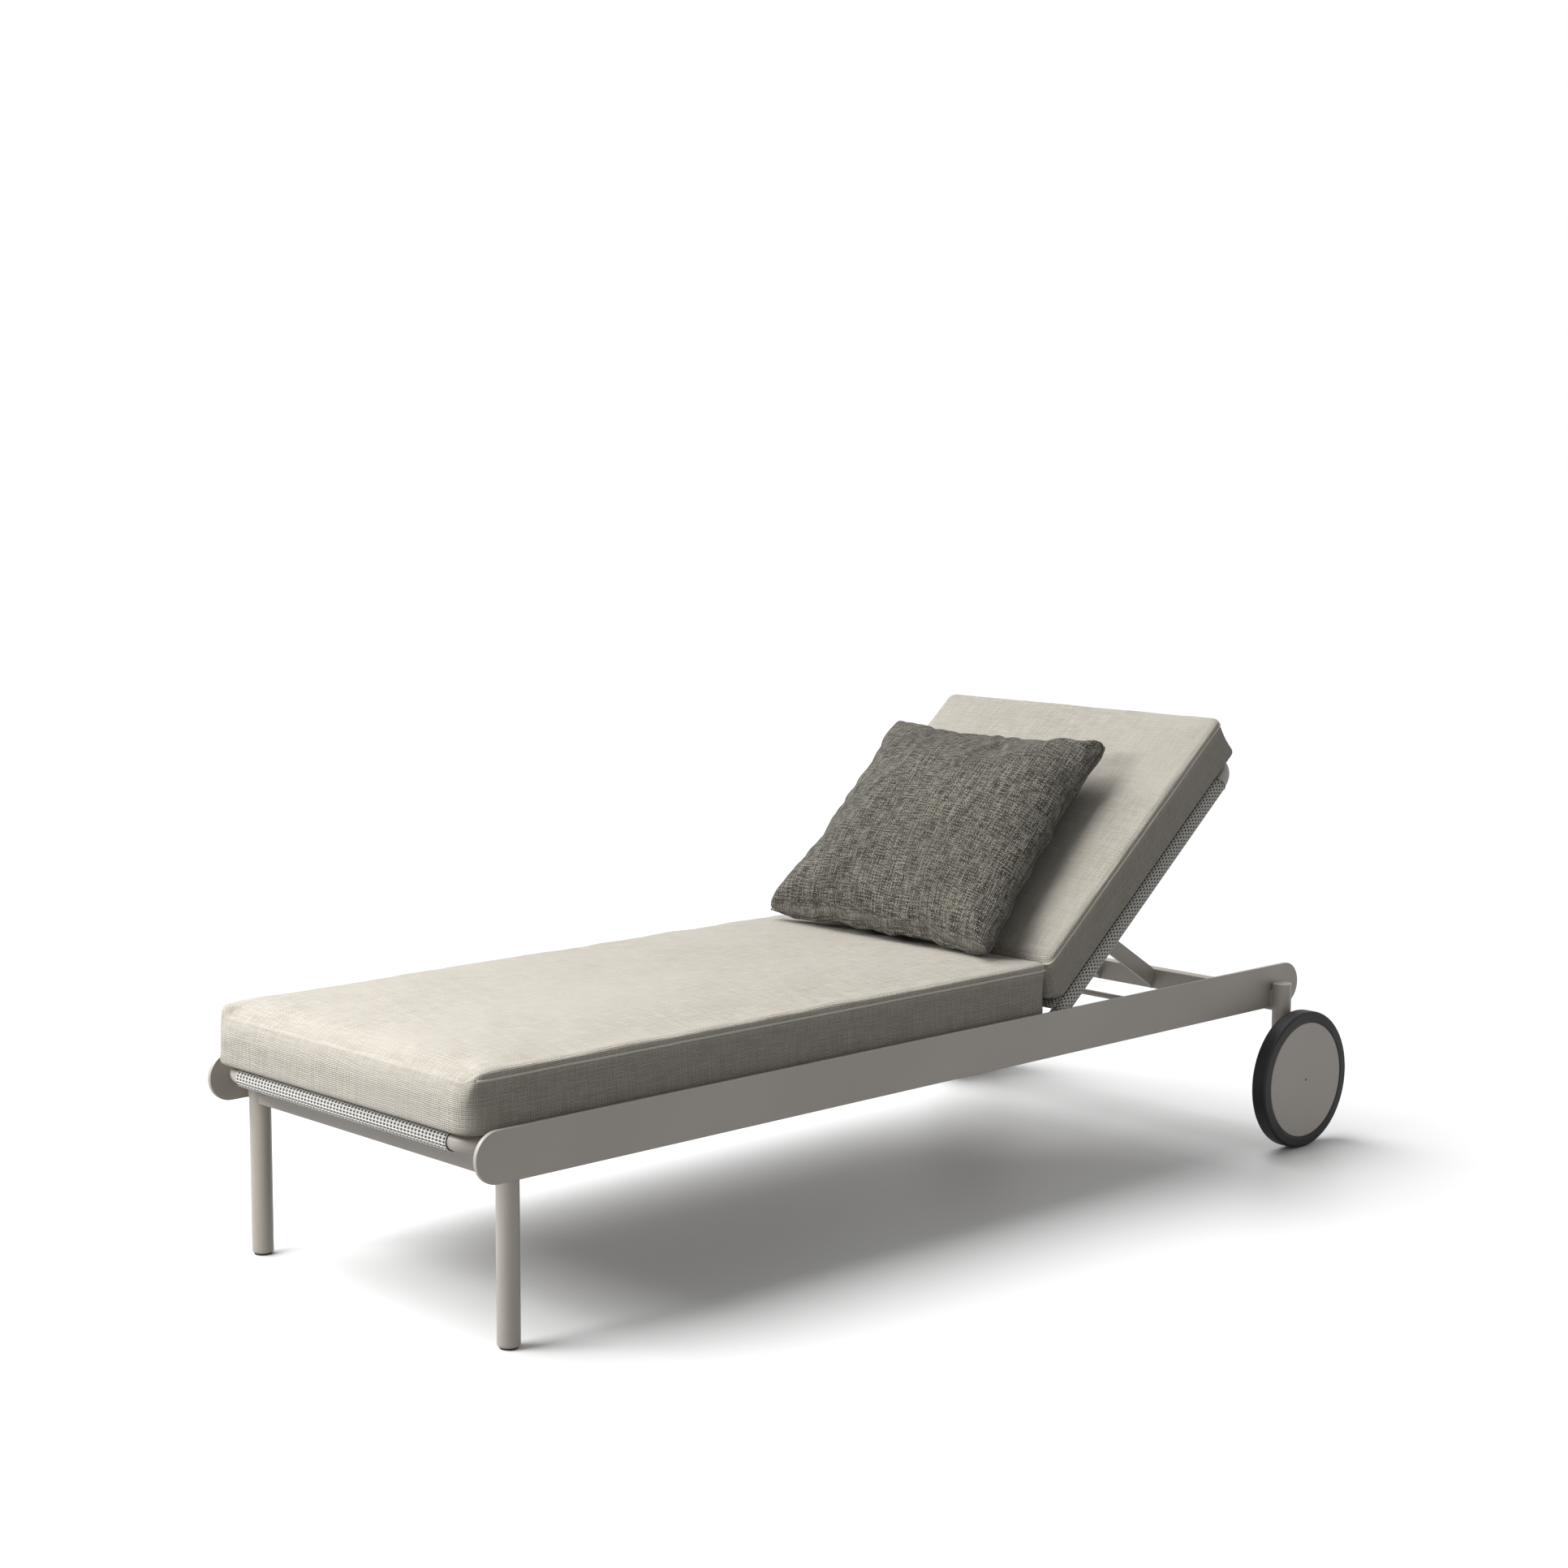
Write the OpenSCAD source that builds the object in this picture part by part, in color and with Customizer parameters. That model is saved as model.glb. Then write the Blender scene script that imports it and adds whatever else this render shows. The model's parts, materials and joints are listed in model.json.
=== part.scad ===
// Reclining sun lounger: flat side rails, round legs, two wheels, two sling frames and loose cushions.
// X runs across the lounger, Y from the foot end to the wheels, Z up from the ground.
// The origin is on the ground, at the middle of the lounger's length and width.

/* [Side rails] */
// Length of a side rail
rail_len = 2000; // [1800:10:2300]
// Width over the two side rails
frame_w = 717; // [600:1:900]
// Height of the rails' top edge above the ground
rail_top_z = 343; // [320:1:430]
// Height of a rail's plate
rail_h = 81; // [70:1:100]
// Thickness of a rail's plate
rail_t = 8; // [6:0.5:12]
// Radius on the long edges of a rail
rail_edge_r = 1.5; // [0.5:0.1:2.5]

/* [Cross beams] */
// Height of the two cross beams
beam_h = 40; // [30:1:50]
// Depth of the two cross beams, along the lounger
beam_t = 24; // [16:1:30]
// Wall of the beams' box section
beam_wall = 2.5; // [1.5:0.1:4]
// How far the beams' undersides hang below the rails
beam_drop = 5; // [0:1:10]
// Radius on the long edges of a beam
beam_edge_r = 2; // [0.5:0.1:4]
// Diameter of the thin tie rod between the rails
tie_d = 11; // [8:1:14]
// Tie rod's axis above the rails' underside
tie_up = 5.5; // [4:0.5:10]
// Tie rod's axis ahead of the rear posts
tie_ahead = 178.5; // [140:0.5:220]

/* [Legs and posts] */
// Diameter of the front legs and rear posts
leg_d = 36; // [28:1:42]
// Wall of the legs and posts
leg_wall = 2.5; // [1.5:0.1:4]
// Front leg's axis behind the rail's front end
leg_setback = 80.5; // [60:0.5:140]
// Thickness of the plate between a front leg and its rail
leg_plate_t = 4; // [3:0.5:8]
// Length of that plate behind the leg's axis
leg_plate_len = 62; // [50:1:90]
// Height of that plate
leg_plate_h = 34; // [28:1:40]
// Gap between a front leg's top and the seat tube above it
leg_top_gap = 2; // [1:0.5:8]
// Height of the rear posts' flat tops above the ground
post_top_z = 310; // [280:1:330]
// How far a rear post reaches below the axle
post_below_axle = 30; // [22:1:60]
// Height of the rounded cap in a leg's foot
foot_cap_h = 9; // [6:0.5:16]
// Radius on the foot cap's bottom edge
foot_cap_r = 4.5; // [2:0.5:6]
// Height of the black glide under each foot cap
glide_h = 2.5; // [1.5:0.5:5]
// Diameter of that glide
glide_d = 28; // [20:1:32]

/* [Wheels] */
// Diameter over the tyre
wheel_d = 263; // [220:1:320]
// Width of the wheel
wheel_w = 31; // [26:1:44]
// Depth of the tyre, from tread to rim
tyre_depth = 21.5; // [14:0.5:30]
// Wheel's axle ahead of the rail's rear end
wheel_setback = 75; // [40:1:120]
// Gap between a rear post and its wheel
wheel_gap = 12; // [6:0.5:20]
// Diameter of the axle bolt
axle_d = 12; // [10:1:16]
// Radial clearance of the wheel's bush on the axle
axle_clear = 0.05; // [0.02:0.01:0.1]
// Thickness of the wheel's flat cover disc
cover_t = 3; // [2:0.5:5]
// Diameter of the small hole in the cover
cover_hole_d = 5; // [4:0.5:10]

/* [Sling frames] */
// Diameter of the bent tubes
tube_d = 28; // [22:0.5:32]
// Wall of the bent tubes
tube_wall = 2; // [1.5:0.1:3]
// Bend radius at the tubes' axis
bend_r = 55; // [45:1:90]
// Tube axis below the rails' top edge
tube_drop = 27; // [22:0.1:30]
// Gap between the wrapped tubes and the rails
side_gap = 1; // [0.6:0.1:4]
// Wrapped front tube's face behind the rails' front ends
tube_setback = 5; // [2:0.5:20]
// Thickness of the woven sling
sling_t = 0.8; // [0.5:0.1:1.5]
// Gap between a tube and the sling around it
sling_gap = 0.2; // [0.1:0.1:0.5]
// Length of one seat saddle along its rail
saddle_len = 30; // [24:1:50]
// Height of a seat saddle's block
saddle_h = 26; // [22:1:34]

/* [Backrest] */
// Angle of the raised backrest above level
back_angle = 39.7; // [30:0.1:42]
// Hinge axis ahead of the rear posts
hinge_ahead = 629.4; // [600:0.1:720]
// Hinge axis to the axis of the backrest's top tube
back_len = 664; // [600:1:680]
// Diameter of the hinge bolt's shoulder
hinge_d = 10; // [8:1:12]
// Radial clearance of the hinge bush on its bolt
hinge_clear = 0.05; // [0.02:0.01:0.1]
// Hinge axis to the backrest's lower crossbar
crossbar_r = 46; // [40:1:80]
// Diameter of that crossbar
crossbar_d = 20; // [16:1:24]

/* [Stay] */
// Stay pivot ahead of the rear beam's front face
stay_ahead = 17.5; // [16.5:0.5:30]
// Stay pivot above the rear beam's mid height
stay_up = 11; // [8:0.5:20]
// Hinge axis to the rod, up the raised backrest
rod_up = 317; // [260:1:320]
// Distance between the two arms' middle planes
stay_spread = 146; // [80:1:300]
// Thickness of an arm
arm_t = 6; // [4:0.5:8]
// Width of an arm at its pivot
arm_w = 32; // [24:1:36]
// Width of an arm at its rod
arm_tip_w = 18; // [14:1:20]
// Length of an arm at full width
arm_full_len = 130; // [60:5:180]
// Diameter of the rod across the arms
rod_d = 10; // [8:1:12]
// Gap between the raised backrest's tubes and the rod behind them
rod_gap = 8; // [8:0.5:14]
// Radial clearance of the rod in the guide slots
slot_clear = 0.3; // [0.2:0.05:0.6]
// Drop of the rod below the pivot when the backrest is level
rod_drop = -4; // [-8:0.5:0]
// Diameter of the stay's pivot pins
stay_pin_d = 8; // [6:1:10]

/* [Cushions] */
// Height of the seat cushion
seat_cushion_h = 99; // [60:1:120]
// Gap on each side between the cushions and the rails
cushion_side_gap = 5; // [2:0.5:20]
// How far the seat cushion stands ahead of the rails
cushion_ahead = 8; // [0:0.5:30]
// Seat cushion's rear end ahead of the hinge axis
cushion_to_hinge = 15; // [14:0.5:40]
// Height of the back cushion
back_cushion_h = 89; // [60:1:110]
// Hinge axis to the back cushion's top end
back_cushion_end = 688; // [600:1:720]
// Gap between cushions that meet
cushion_gap = 0.5; // [0.3:0.1:3]
// Radius of the seat cushion's front corners, seen from above
front_corner_r = 38; // [20:1:60]
// Radius of the cushions' other corners
cushion_corner_r = 16; // [8:1:60]
// Scatter pillow's width at its lower edge
pillow_w = 575; // [400:5:640]
// Scatter pillow's width at its upper edge
pillow_top_w = 525; // [400:5:640]
// Scatter pillow's height up the backrest
pillow_l = 500; // [350:5:520]
// Scatter pillow's thickness
pillow_h = 145; // [100:5:170]
// Middle of the pillow's lower edge, to the right of the lounger's middle
pillow_right = 10; // [-40:5:40]
// How far the pillow's top leans to the left
pillow_lean = 56; // [0:2:80]
// Hinge axis to the pillow's lower edge, along the backrest
pillow_foot = 2; // [-10:1:60]

/* [Hidden] */
$fn = 64;

// Finishes
paint = [0.62, 0.60, 0.56];
black = [0.08, 0.08, 0.08];
nylon = [0.85, 0.84, 0.80];
steel = [0.70, 0.70, 0.71];
weave = [0.80, 0.80, 0.79];
cloth = [0.80, 0.76, 0.70];
dark_cloth = [0.30, 0.30, 0.27];

// Small allowances: a cut's overshoot, a pressed fit's slack on the radius, a plug's slack
eps = 0.01;
press = 0.02;
cap_fit = 0.1;

// Overall box
whole_len = cushion_ahead + rail_len - wheel_setback + wheel_d / 2;
front_y = -whole_len / 2;
rail_y0 = front_y + cushion_ahead;
rail_y1 = rail_y0 + rail_len;
rail_bottom_z = rail_top_z - rail_h;
rail_out_x = frame_w / 2;
rail_in_x = rail_out_x - rail_t;

// Beams, legs and wheels
beam_bottom_z = rail_bottom_z - beam_drop;
beam_top_z = beam_bottom_z + beam_h;
beam_mid_z = beam_bottom_z + beam_h / 2;
leg_r = leg_d / 2;
leg_x = rail_in_x - leg_plate_t - leg_r;
leg_y = rail_y0 + leg_setback;
post_x = rail_out_x + leg_r;
post_y = rail_y1 - wheel_setback;
axle_z = wheel_d / 2;
wheel_r = wheel_d / 2;
rim_r = wheel_r - tyre_depth;
wheel_in_x = post_x + leg_r + wheel_gap;
wheel_out_x = wheel_in_x + wheel_w;
cap_plug_h = 12;
top_cap_t = 2;
bottom_cap_t = 3;

// Tubes and slings
function tenth(x) = round(10 * x) / 10;
tube_r = tube_d / 2;
wrap_in_r = tube_r + sling_gap;
wrap_r = wrap_in_r + sling_t;
tube_x = rail_in_x - side_gap - wrap_r;
tube_z = rail_top_z - tube_drop;
seat_y0 = rail_y0 + tube_setback + wrap_r;
hinge_y = post_y - hinge_ahead;
hinge_z = tube_z;
end_cap_t = 2;
back_end_y = -12;
end_sweep = sqrt(back_end_y * back_end_y + tube_r * tube_r);
end_gap = 2;
seat_y1 = tenth(hinge_y - end_sweep - end_gap - wrap_r);
saddle_ys = [for (f = [0.26, 0.62, 0.93]) seat_y0 + f * (seat_y1 - seat_y0)];
saddle_in = 12;
saddle_top_z = tube_z - tube_r / 2;
saddle_gap = 4;
panel_cut = bend_r;

// Hinge
bush_r = hinge_d / 2 + 2;
bush_out = 1;
thrust_gap = 0.25;
washer_t = side_gap + sling_gap + sling_t - bush_out - 2 * thrust_gap;
bolt_hole_depth = rail_t * 0.6;
bolt_head_h = 5;
bolt_head_r = hinge_d / 2 + 3.5;
back_sling_start = 22;
pad_gap = 0.3;

// Stay pivot, the arm's angle with the backrest raised and the rod's place from the pivot
stay_y = post_y - beam_t / 2 - stay_ahead;
stay_z = beam_mid_z + stay_up;
rod_r = rod_d / 2;
rod_behind = tube_r + rod_r + rod_gap;
pivot_dy = stay_y - hinge_y;
pivot_dz = stay_z - hinge_z;
// Pivot seen from the hinge, along the backrest and in front of it
pivot_along = pivot_dy * cos(back_angle) + pivot_dz * sin(back_angle);
pivot_front = -pivot_dy * sin(back_angle) + pivot_dz * cos(back_angle);
rod_rise = -rod_behind - pivot_front;
stay_len = norm([pivot_along - rod_up, rod_rise]);
arm_angle = asin(rod_rise / stay_len) - back_angle;
arm_angle_level = asin(-rod_drop / stay_len);
// Turn of the stay for one degree of recline
stay_ratio = (arm_angle - arm_angle_level) / back_angle;

// Rod's place on the backrest when the backrest stands at angle a above level
function arm_at(a) = arm_angle_level + stay_ratio * a;
function rod_from_hinge(a) = [pivot_dy - stay_len * cos(arm_at(a)), pivot_dz + stay_len * sin(arm_at(a))];
function turned(p, a) = [p[0] * cos(a) + p[1] * sin(a), -p[0] * sin(a) + p[1] * cos(a)];
function on_back(a) = turned(rod_from_hinge(a), a);
slot_steps = 40;
slot_path = [for (i = [0:slot_steps]) on_back(back_angle * i / slot_steps)];
function unit(v) = v / norm(v);
function along(i) = unit(slot_path[min(i + 1, slot_steps)] - slot_path[max(i - 1, 0)]);
function beside(i, d) = slot_path[i] + d * [-along(i)[1], along(i)[0]];
slot_r = rod_r + slot_clear;
slot_near_r = min([for (p = slot_path) p[0]]);
slot_far_r = max([for (p = slot_path) p[0]]);
slot_low = min([for (p = slot_path) p[1]]);
slot_high = max([for (p = slot_path) p[1]]);
plate_t = 5;
plate_edge = 10;
plate_under_sling = 0.6;
plate_tail = 30;
plate_end_r = 9;
standoff_r = 7;
standoff_ys = [slot_near_r - plate_tail, slot_far_r + plate_tail];
cap_room = 3;
rod_cap_r = rod_r + 3;
rod_cap_t = 5;
rod_cap_end = 1.5;
rod_cap_gap = 0.5;
plate_out_x = tube_x - tube_r - cap_room - rod_cap_t - cap_room;
plate_in_x = plate_out_x - plate_t;
rod_end_x = plate_out_x + rod_cap_gap + rod_cap_t;

// Stay arms and lugs
arm_out_x = stay_spread / 2 + arm_t / 2;
arm_in_x = arm_out_x - arm_t;
lug_gap = 0.3;
lug_t = 6;
lug_r = 11;
lug_in_x = arm_in_x - lug_gap - lug_t;
pin_clear = 0.05;
brace_at = arm_full_len + 90;

// Hub of a wheel
hub_bush_r = axle_d / 2 + 4;
axle_head_r = axle_d / 2 + 4;
axle_head_t = 5;
axle_end_play = 0.5;
spacer_gap = 0.3;
nut_wall = 6;
bolt_recess_r = axle_head_r + 3;
bolt_recess_t = axle_head_t + axle_end_play + 3.5;
hub_wall_x = wheel_out_x - cover_t - bolt_recess_t;

// Screws
screw_d = 6;
screw_head_r = 5.5;
screw_head_h = 3.2;
screw_end_gap = 0.5;
plate_rise = 3;
block_t = 4;
block_len = 22;
block_h = 24;

// Cushions
cushion_half_w = rail_in_x - cushion_side_gap;
cushion_z0 = tube_z + wrap_r + cushion_gap;
seat_cushion_y0 = front_y;
seat_cushion_y1 = hinge_y - cushion_to_hinge;
back_face = wrap_r + cushion_gap + back_cushion_h;
back_end_dy = seat_cushion_y1 + cushion_gap - hinge_y;
// How far up the backrest its cushion starts at height h, to stay behind the seat cushion
function behind_seat(h) = (back_end_dy + h * sin(back_angle)) / cos(back_angle);
wedge_h = wrap_r + 25;
pillow_gap = 3;
pillow_rest = back_face + pillow_gap + pillow_h / 2;
pillow_tip_r = 22;
pillow_crown = 0.72;

module rounded_rect(w, h, r) {
    square([w - 2 * r, h], center = true);
    square([w, h - 2 * r], center = true);
    for (sx = [-1, 1])
        for (sy = [-1, 1])
            translate([sx * (w / 2 - r), sy * (h / 2 - r)])
                circle(r);
}

module rod_x(x0, x1, r) {
    translate([x0, 0, 0])
        rotate([0, 90, 0])
            cylinder(r = r, h = x1 - x0);
}

module rod_y(y0, y1, r) {
    translate([0, y0, 0])
        rotate([-90, 0, 0])
            cylinder(r = r, h = y1 - y0);
}

module both_sides() {
    for (s = [0, 1])
        mirror([s, 0, 0])
            children();
}

module on_side(side) {
    mirror([side == "left" ? 1 : 0, 0, 0])
        children();
}

module at_hinge() {
    translate([0, hinge_y, hinge_z])
        rotate([back_angle, 0, 0])
            children();
}

module at_stay() {
    translate([0, stay_y, stay_z])
        rotate([-arm_angle, 0, 0])
            children();
}

// ---- Side rails ----

module rail_end() {
    rotate([0, 90, 0])
        rotate_extrude(angle = 180)
            intersection() {
                rounded_rect(rail_h, rail_t, rail_edge_r);
                translate([0, -rail_t])
                    square([rail_h, 2 * rail_t]);
            }
}

module rail_plate() {
    mid_z = (rail_top_z + rail_bottom_z) / 2;
    end_r = rail_h / 2;
    translate([rail_out_x - rail_t / 2, 0, mid_z]) {
        translate([0, rail_y1 - end_r, 0])
            rotate([-90, 0, 0])
                mirror([0, 0, 1])
                    linear_extrude(rail_len - rail_h)
                        rounded_rect(rail_t, rail_h, rail_edge_r);
        translate([0, rail_y1 - end_r, 0])
            rail_end();
        translate([0, rail_y0 + end_r, 0])
            rotate([180, 0, 0])
                rail_end();
    }
}

module rail(side) {
    notch_gap = 0.1;
    on_side(side)
        color(paint)
            difference() {
                rail_plate();
                translate([rail_in_x - rail_t, post_y - beam_t / 2 - notch_gap, rail_bottom_z - rail_h])
                    cube([3 * rail_t, beam_t + 2 * notch_gap, rail_h + beam_h - beam_drop + notch_gap]);
                translate([0, hinge_y, hinge_z])
                    rod_x(rail_in_x - 1, rail_in_x + bolt_hole_depth, hinge_d / 2);
                translate([rail_in_x, 0, 0])
                    plate_screw_places()
                        rod_x(-1, bolt_hole_depth, screw_d / 2);
                translate([rail_in_x, 0, 0])
                    corner_screw_places()
                        rod_x(-1, bolt_hole_depth, screw_d / 2);
            }
}

// ---- Cross beams ----

module beam_section() {
    difference() {
        rounded_rect(beam_t, beam_h, beam_edge_r);
        square([beam_t - 2 * beam_wall, beam_h - 2 * beam_wall], center = true);
    }
}

module beam(y, half_len, post_at) {
    color(paint)
        difference() {
            translate([-half_len, y, beam_mid_z])
                rotate([90, 0, 90])
                    linear_extrude(2 * half_len)
                        beam_section();
            both_sides()
                translate([post_at, y, beam_bottom_z - beam_h])
                    cylinder(r = leg_r + eps, h = 3 * beam_h);
        }
}

module front_beam() {
    beam(leg_y, leg_x, leg_x);
}

module rear_beam() {
    beam(post_y, post_x, post_x);
}

module tie_rod() {
    color(paint)
        translate([0, post_y - tie_ahead, rail_bottom_z + tie_up])
            rod_x(-rail_in_x, rail_in_x, tie_d / 2);
}

// ---- Legs and posts ----

module front_leg(side) {
    z0 = glide_h + foot_cap_h;
    z1 = tube_z - wrap_r - leg_top_gap;
    on_side(side)
        color(paint)
            translate([leg_x, leg_y, z0])
                difference() {
                    cylinder(r = leg_r, h = z1 - z0);
                    translate([0, 0, -1])
                        cylinder(r = leg_r - leg_wall, h = z1 - z0 - leg_wall);
                }
}

// A plate lies on each rail's inner face, with the leg against it and two screws behind the leg
module plate_screw_places() {
    plate_z = rail_bottom_z + leg_plate_h / 2 + plate_rise;
    for (f = [0.5, 0.84])
        translate([0, leg_y + f * leg_plate_len, plate_z])
            children();
}

module leg_plates() {
    color(paint)
        both_sides()
            difference() {
                translate([rail_in_x - leg_plate_t, leg_y - leg_r / 2, rail_bottom_z + plate_rise])
                    cube([leg_plate_t, leg_plate_len + leg_r / 2, leg_plate_h]);
                translate([rail_in_x, 0, 0])
                    plate_screw_places()
                        rod_x(-leg_plate_t - 1, 1, screw_d / 2);
            }
}

module screw_to_rail(plate) {
    rod_x(-plate - screw_head_h, -plate, screw_head_r);
    rod_x(-plate - eps, bolt_hole_depth - screw_end_gap, screw_d / 2 - press);
}

module leg_plate_screws() {
    color(steel)
        both_sides()
            translate([rail_in_x, 0, 0])
                plate_screw_places()
                    screw_to_rail(leg_plate_t);
}

module foot_caps() {
    flat_r = leg_r - foot_cap_r;
    color(paint)
        both_sides()
            translate([leg_x, leg_y, glide_h])
                difference() {
                    union() {
                        rotate_extrude() {
                            square([flat_r, foot_cap_h]);
                            translate([0, foot_cap_r])
                                square([leg_r, foot_cap_h - foot_cap_r]);
                            translate([flat_r, foot_cap_r])
                                intersection() {
                                    circle(foot_cap_r);
                                    translate([0, -foot_cap_r])
                                        square(foot_cap_r);
                                }
                        }
                        translate([0, 0, foot_cap_h - eps])
                            cylinder(r = leg_r - leg_wall - cap_fit, h = cap_plug_h);
                    }
                    translate([0, 0, -1])
                        cylinder(r = glide_d / 4, h = foot_cap_h / 2 + 1);
                }
}

module foot_glides() {
    color(black)
        both_sides()
            translate([leg_x, leg_y, 0]) {
                cylinder(r = glide_d / 2, h = glide_h);
                cylinder(r = glide_d / 4 - cap_fit, h = glide_h + foot_cap_h / 2 - cap_fit);
            }
}

module rear_post(side) {
    z0 = axle_z - post_below_axle;
    on_side(side)
        color(paint)
            difference() {
                translate([post_x, post_y, z0])
                    difference() {
                        cylinder(r = leg_r, h = post_top_z - top_cap_t - z0);
                        translate([0, 0, -1])
                            cylinder(r = leg_r - leg_wall, h = post_top_z - z0);
                    }
                translate([0, post_y, axle_z])
                    rod_x(post_x - leg_d, post_x + leg_d, axle_d / 2 + cap_fit);
            }
}

module post_top_caps() {
    color(paint)
        both_sides()
            translate([post_x, post_y, post_top_z - top_cap_t]) {
                cylinder(r = leg_r, h = top_cap_t);
                translate([0, 0, -cap_plug_h])
                    cylinder(r = leg_r - leg_wall - cap_fit, h = cap_plug_h + eps);
            }
}

module post_bottom_caps() {
    z0 = axle_z - post_below_axle;
    color(black)
        both_sides()
            translate([post_x, post_y, z0]) {
                translate([0, 0, -bottom_cap_t])
                    cylinder(r = leg_r, h = bottom_cap_t);
                translate([0, 0, -eps])
                    cylinder(r = leg_r - leg_wall - cap_fit, h = cap_plug_h);
            }
}

// Angle blocks that tie the rear beam's top to the rails
module corner_screw_places() {
    for (s = [-1, 1])
        translate([0, post_y + s * (beam_t + block_len) / 2, beam_mid_z])
            children();
}

module corner_blocks() {
    color(paint)
        both_sides()
            difference() {
                for (s = [-1, 1])
                    translate([rail_in_x - block_t / 2, post_y + s * (beam_t + block_len) / 2, beam_mid_z])
                        cube([block_t, block_len, block_h], center = true);
                translate([rail_in_x, 0, 0])
                    corner_screw_places()
                        rod_x(-block_t - 1, 1, screw_d / 2);
            }
}

module corner_screws() {
    color(steel)
        both_sides()
            translate([rail_in_x, 0, 0])
                corner_screw_places()
                    screw_to_rail(block_t);
}

// ---- Seat frame, sling and cushion ----

module bend(r) {
    rotate_extrude(angle = 90)
        translate([bend_r, 0])
            circle(r);
}

module closed_loop(y0, y1, r) {
    for (s = [-1, 1])
        translate([s * tube_x, 0, 0])
            rod_y(y0 + bend_r, y1 - bend_r, r);
    for (y = [y0, y1])
        translate([0, y, 0])
            rod_x(-tube_x + bend_r, tube_x - bend_r, r);
    both_sides() {
        translate([tube_x - bend_r, y1 - bend_r, 0])
            bend(r);
        translate([tube_x - bend_r, y0 + bend_r, 0])
            rotate([0, 0, -90])
                bend(r);
    }
}

module seat_frame() {
    color(paint)
        difference() {
            translate([0, 0, tube_z])
                closed_loop(seat_y0, seat_y1, tube_r);
            translate([0, 0, tube_z])
                closed_loop(seat_y0, seat_y1, tube_r - tube_wall);
            both_sides()
                for (y = saddle_ys)
                    translate([tube_x, y, tube_z - tube_d])
                        cylinder(r = screw_d / 2, h = tube_d);
        }
}

module seat_saddles() {
    z0 = saddle_top_z - saddle_h;
    color(paint)
        both_sides()
            for (y = saddle_ys)
                difference() {
                    translate([tube_x - saddle_in, y - saddle_len / 2, z0])
                        cube([rail_in_x - tube_x + saddle_in, saddle_len, saddle_h]);
                    translate([tube_x, y, tube_z])
                        rod_y(-saddle_len, saddle_len, tube_r + cap_fit);
                    translate([tube_x, y, z0 - 1])
                        cylinder(r = screw_d / 2, h = saddle_h + 2);
                }
}

module saddle_screws() {
    z0 = saddle_top_z - saddle_h;
    color(steel)
        both_sides()
            for (y = saddle_ys)
                translate([tube_x, y, z0]) {
                    translate([0, 0, -screw_head_h])
                        cylinder(r = screw_head_r, h = screw_head_h);
                    translate([0, 0, -eps])
                        cylinder(r = screw_d / 2 - press, h = saddle_top_z - z0);
                }
}

// Half of the sling's wrap, on the side away from the panel
module wrap_section() {
    intersection() {
        difference() {
            circle(wrap_r);
            circle(wrap_in_r);
        }
        translate([0, -wrap_r])
            square([wrap_r, 2 * wrap_r]);
    }
}

module wrap_along_y(y0, y1) {
    translate([tube_x, y1, 0])
        rotate([90, 0, 0])
            linear_extrude(y1 - y0)
                wrap_section();
}

module wrap_along_x(half_len) {
    translate([-half_len, 0, 0])
        rotate([90, 0, 90])
            linear_extrude(2 * half_len)
                wrap_section();
}

// Flat panel with its corners cut inside the bare bends
module sling_panel(y0, y1, cut0, cut1) {
    x = tube_x;
    translate([0, 0, wrap_in_r])
        linear_extrude(sling_t)
            polygon([
                [-x + cut0, y0], [x - cut0, y0], [x, y0 + cut0], [x, y1 - cut1],
                [x - cut1, y1], [-x + cut1, y1], [-x, y1 - cut1], [-x, y0 + cut0]
            ]);
}

module seat_sling() {
    color(weave)
        translate([0, 0, tube_z])
            sling_panel(seat_y0, seat_y1, panel_cut, panel_cut);
}

// The sleeves stop short of each saddle, where the bare tube is screwed down
module seat_sling_sleeves() {
    notch = saddle_len + saddle_gap;
    color(weave)
        difference() {
            translate([0, 0, tube_z]) {
                both_sides()
                    wrap_along_y(seat_y0 + panel_cut, seat_y1 - panel_cut);
                translate([0, seat_y1, 0])
                    wrap_along_x(tube_x - panel_cut);
                translate([0, seat_y0, 0])
                    mirror([0, 1, 0])
                        wrap_along_x(tube_x - panel_cut);
            }
            for (s = [-1, 1])
                for (y = saddle_ys)
                    translate([s * tube_x - wrap_r, y - notch / 2, tube_z - wrap_r - 1])
                        cube([2 * wrap_r, notch, 2 * wrap_r + 2]);
        }
}

// Outline with one radius on its two near corners and another on its two far ones
module cushion_outline(w, l, near_r, far_r) {
    for (sx = [-1, 1]) {
        translate([sx * (w - near_r), near_r])
            circle(near_r);
        translate([sx * (w - far_r), l - far_r])
            circle(far_r);
    }
    translate([-w, near_r])
        square([2 * w, l - near_r - far_r]);
    translate([-w + near_r, 0])
        square([2 * (w - near_r), l / 2]);
    translate([-w + far_r, l / 2])
        square([2 * (w - far_r), l / 2]);
}

module seat_cushion() {
    cushion_len = seat_cushion_y1 - seat_cushion_y0;
    color(cloth)
        translate([0, seat_cushion_y0, cushion_z0])
            linear_extrude(seat_cushion_h)
                cushion_outline(cushion_half_w, cushion_len, front_corner_r, cushion_corner_r);
}

// Rubber pads on the rear beam that carry the lowered backrest
module rest_pads() {
    pad_h = tube_z - wrap_r - beam_top_z - pad_gap;
    color(black)
        both_sides()
            translate([tube_x, post_y, beam_top_z])
                cylinder(r = beam_t / 2 - beam_edge_r, h = pad_h);
}

// ---- Backrest hinge ----

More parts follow.
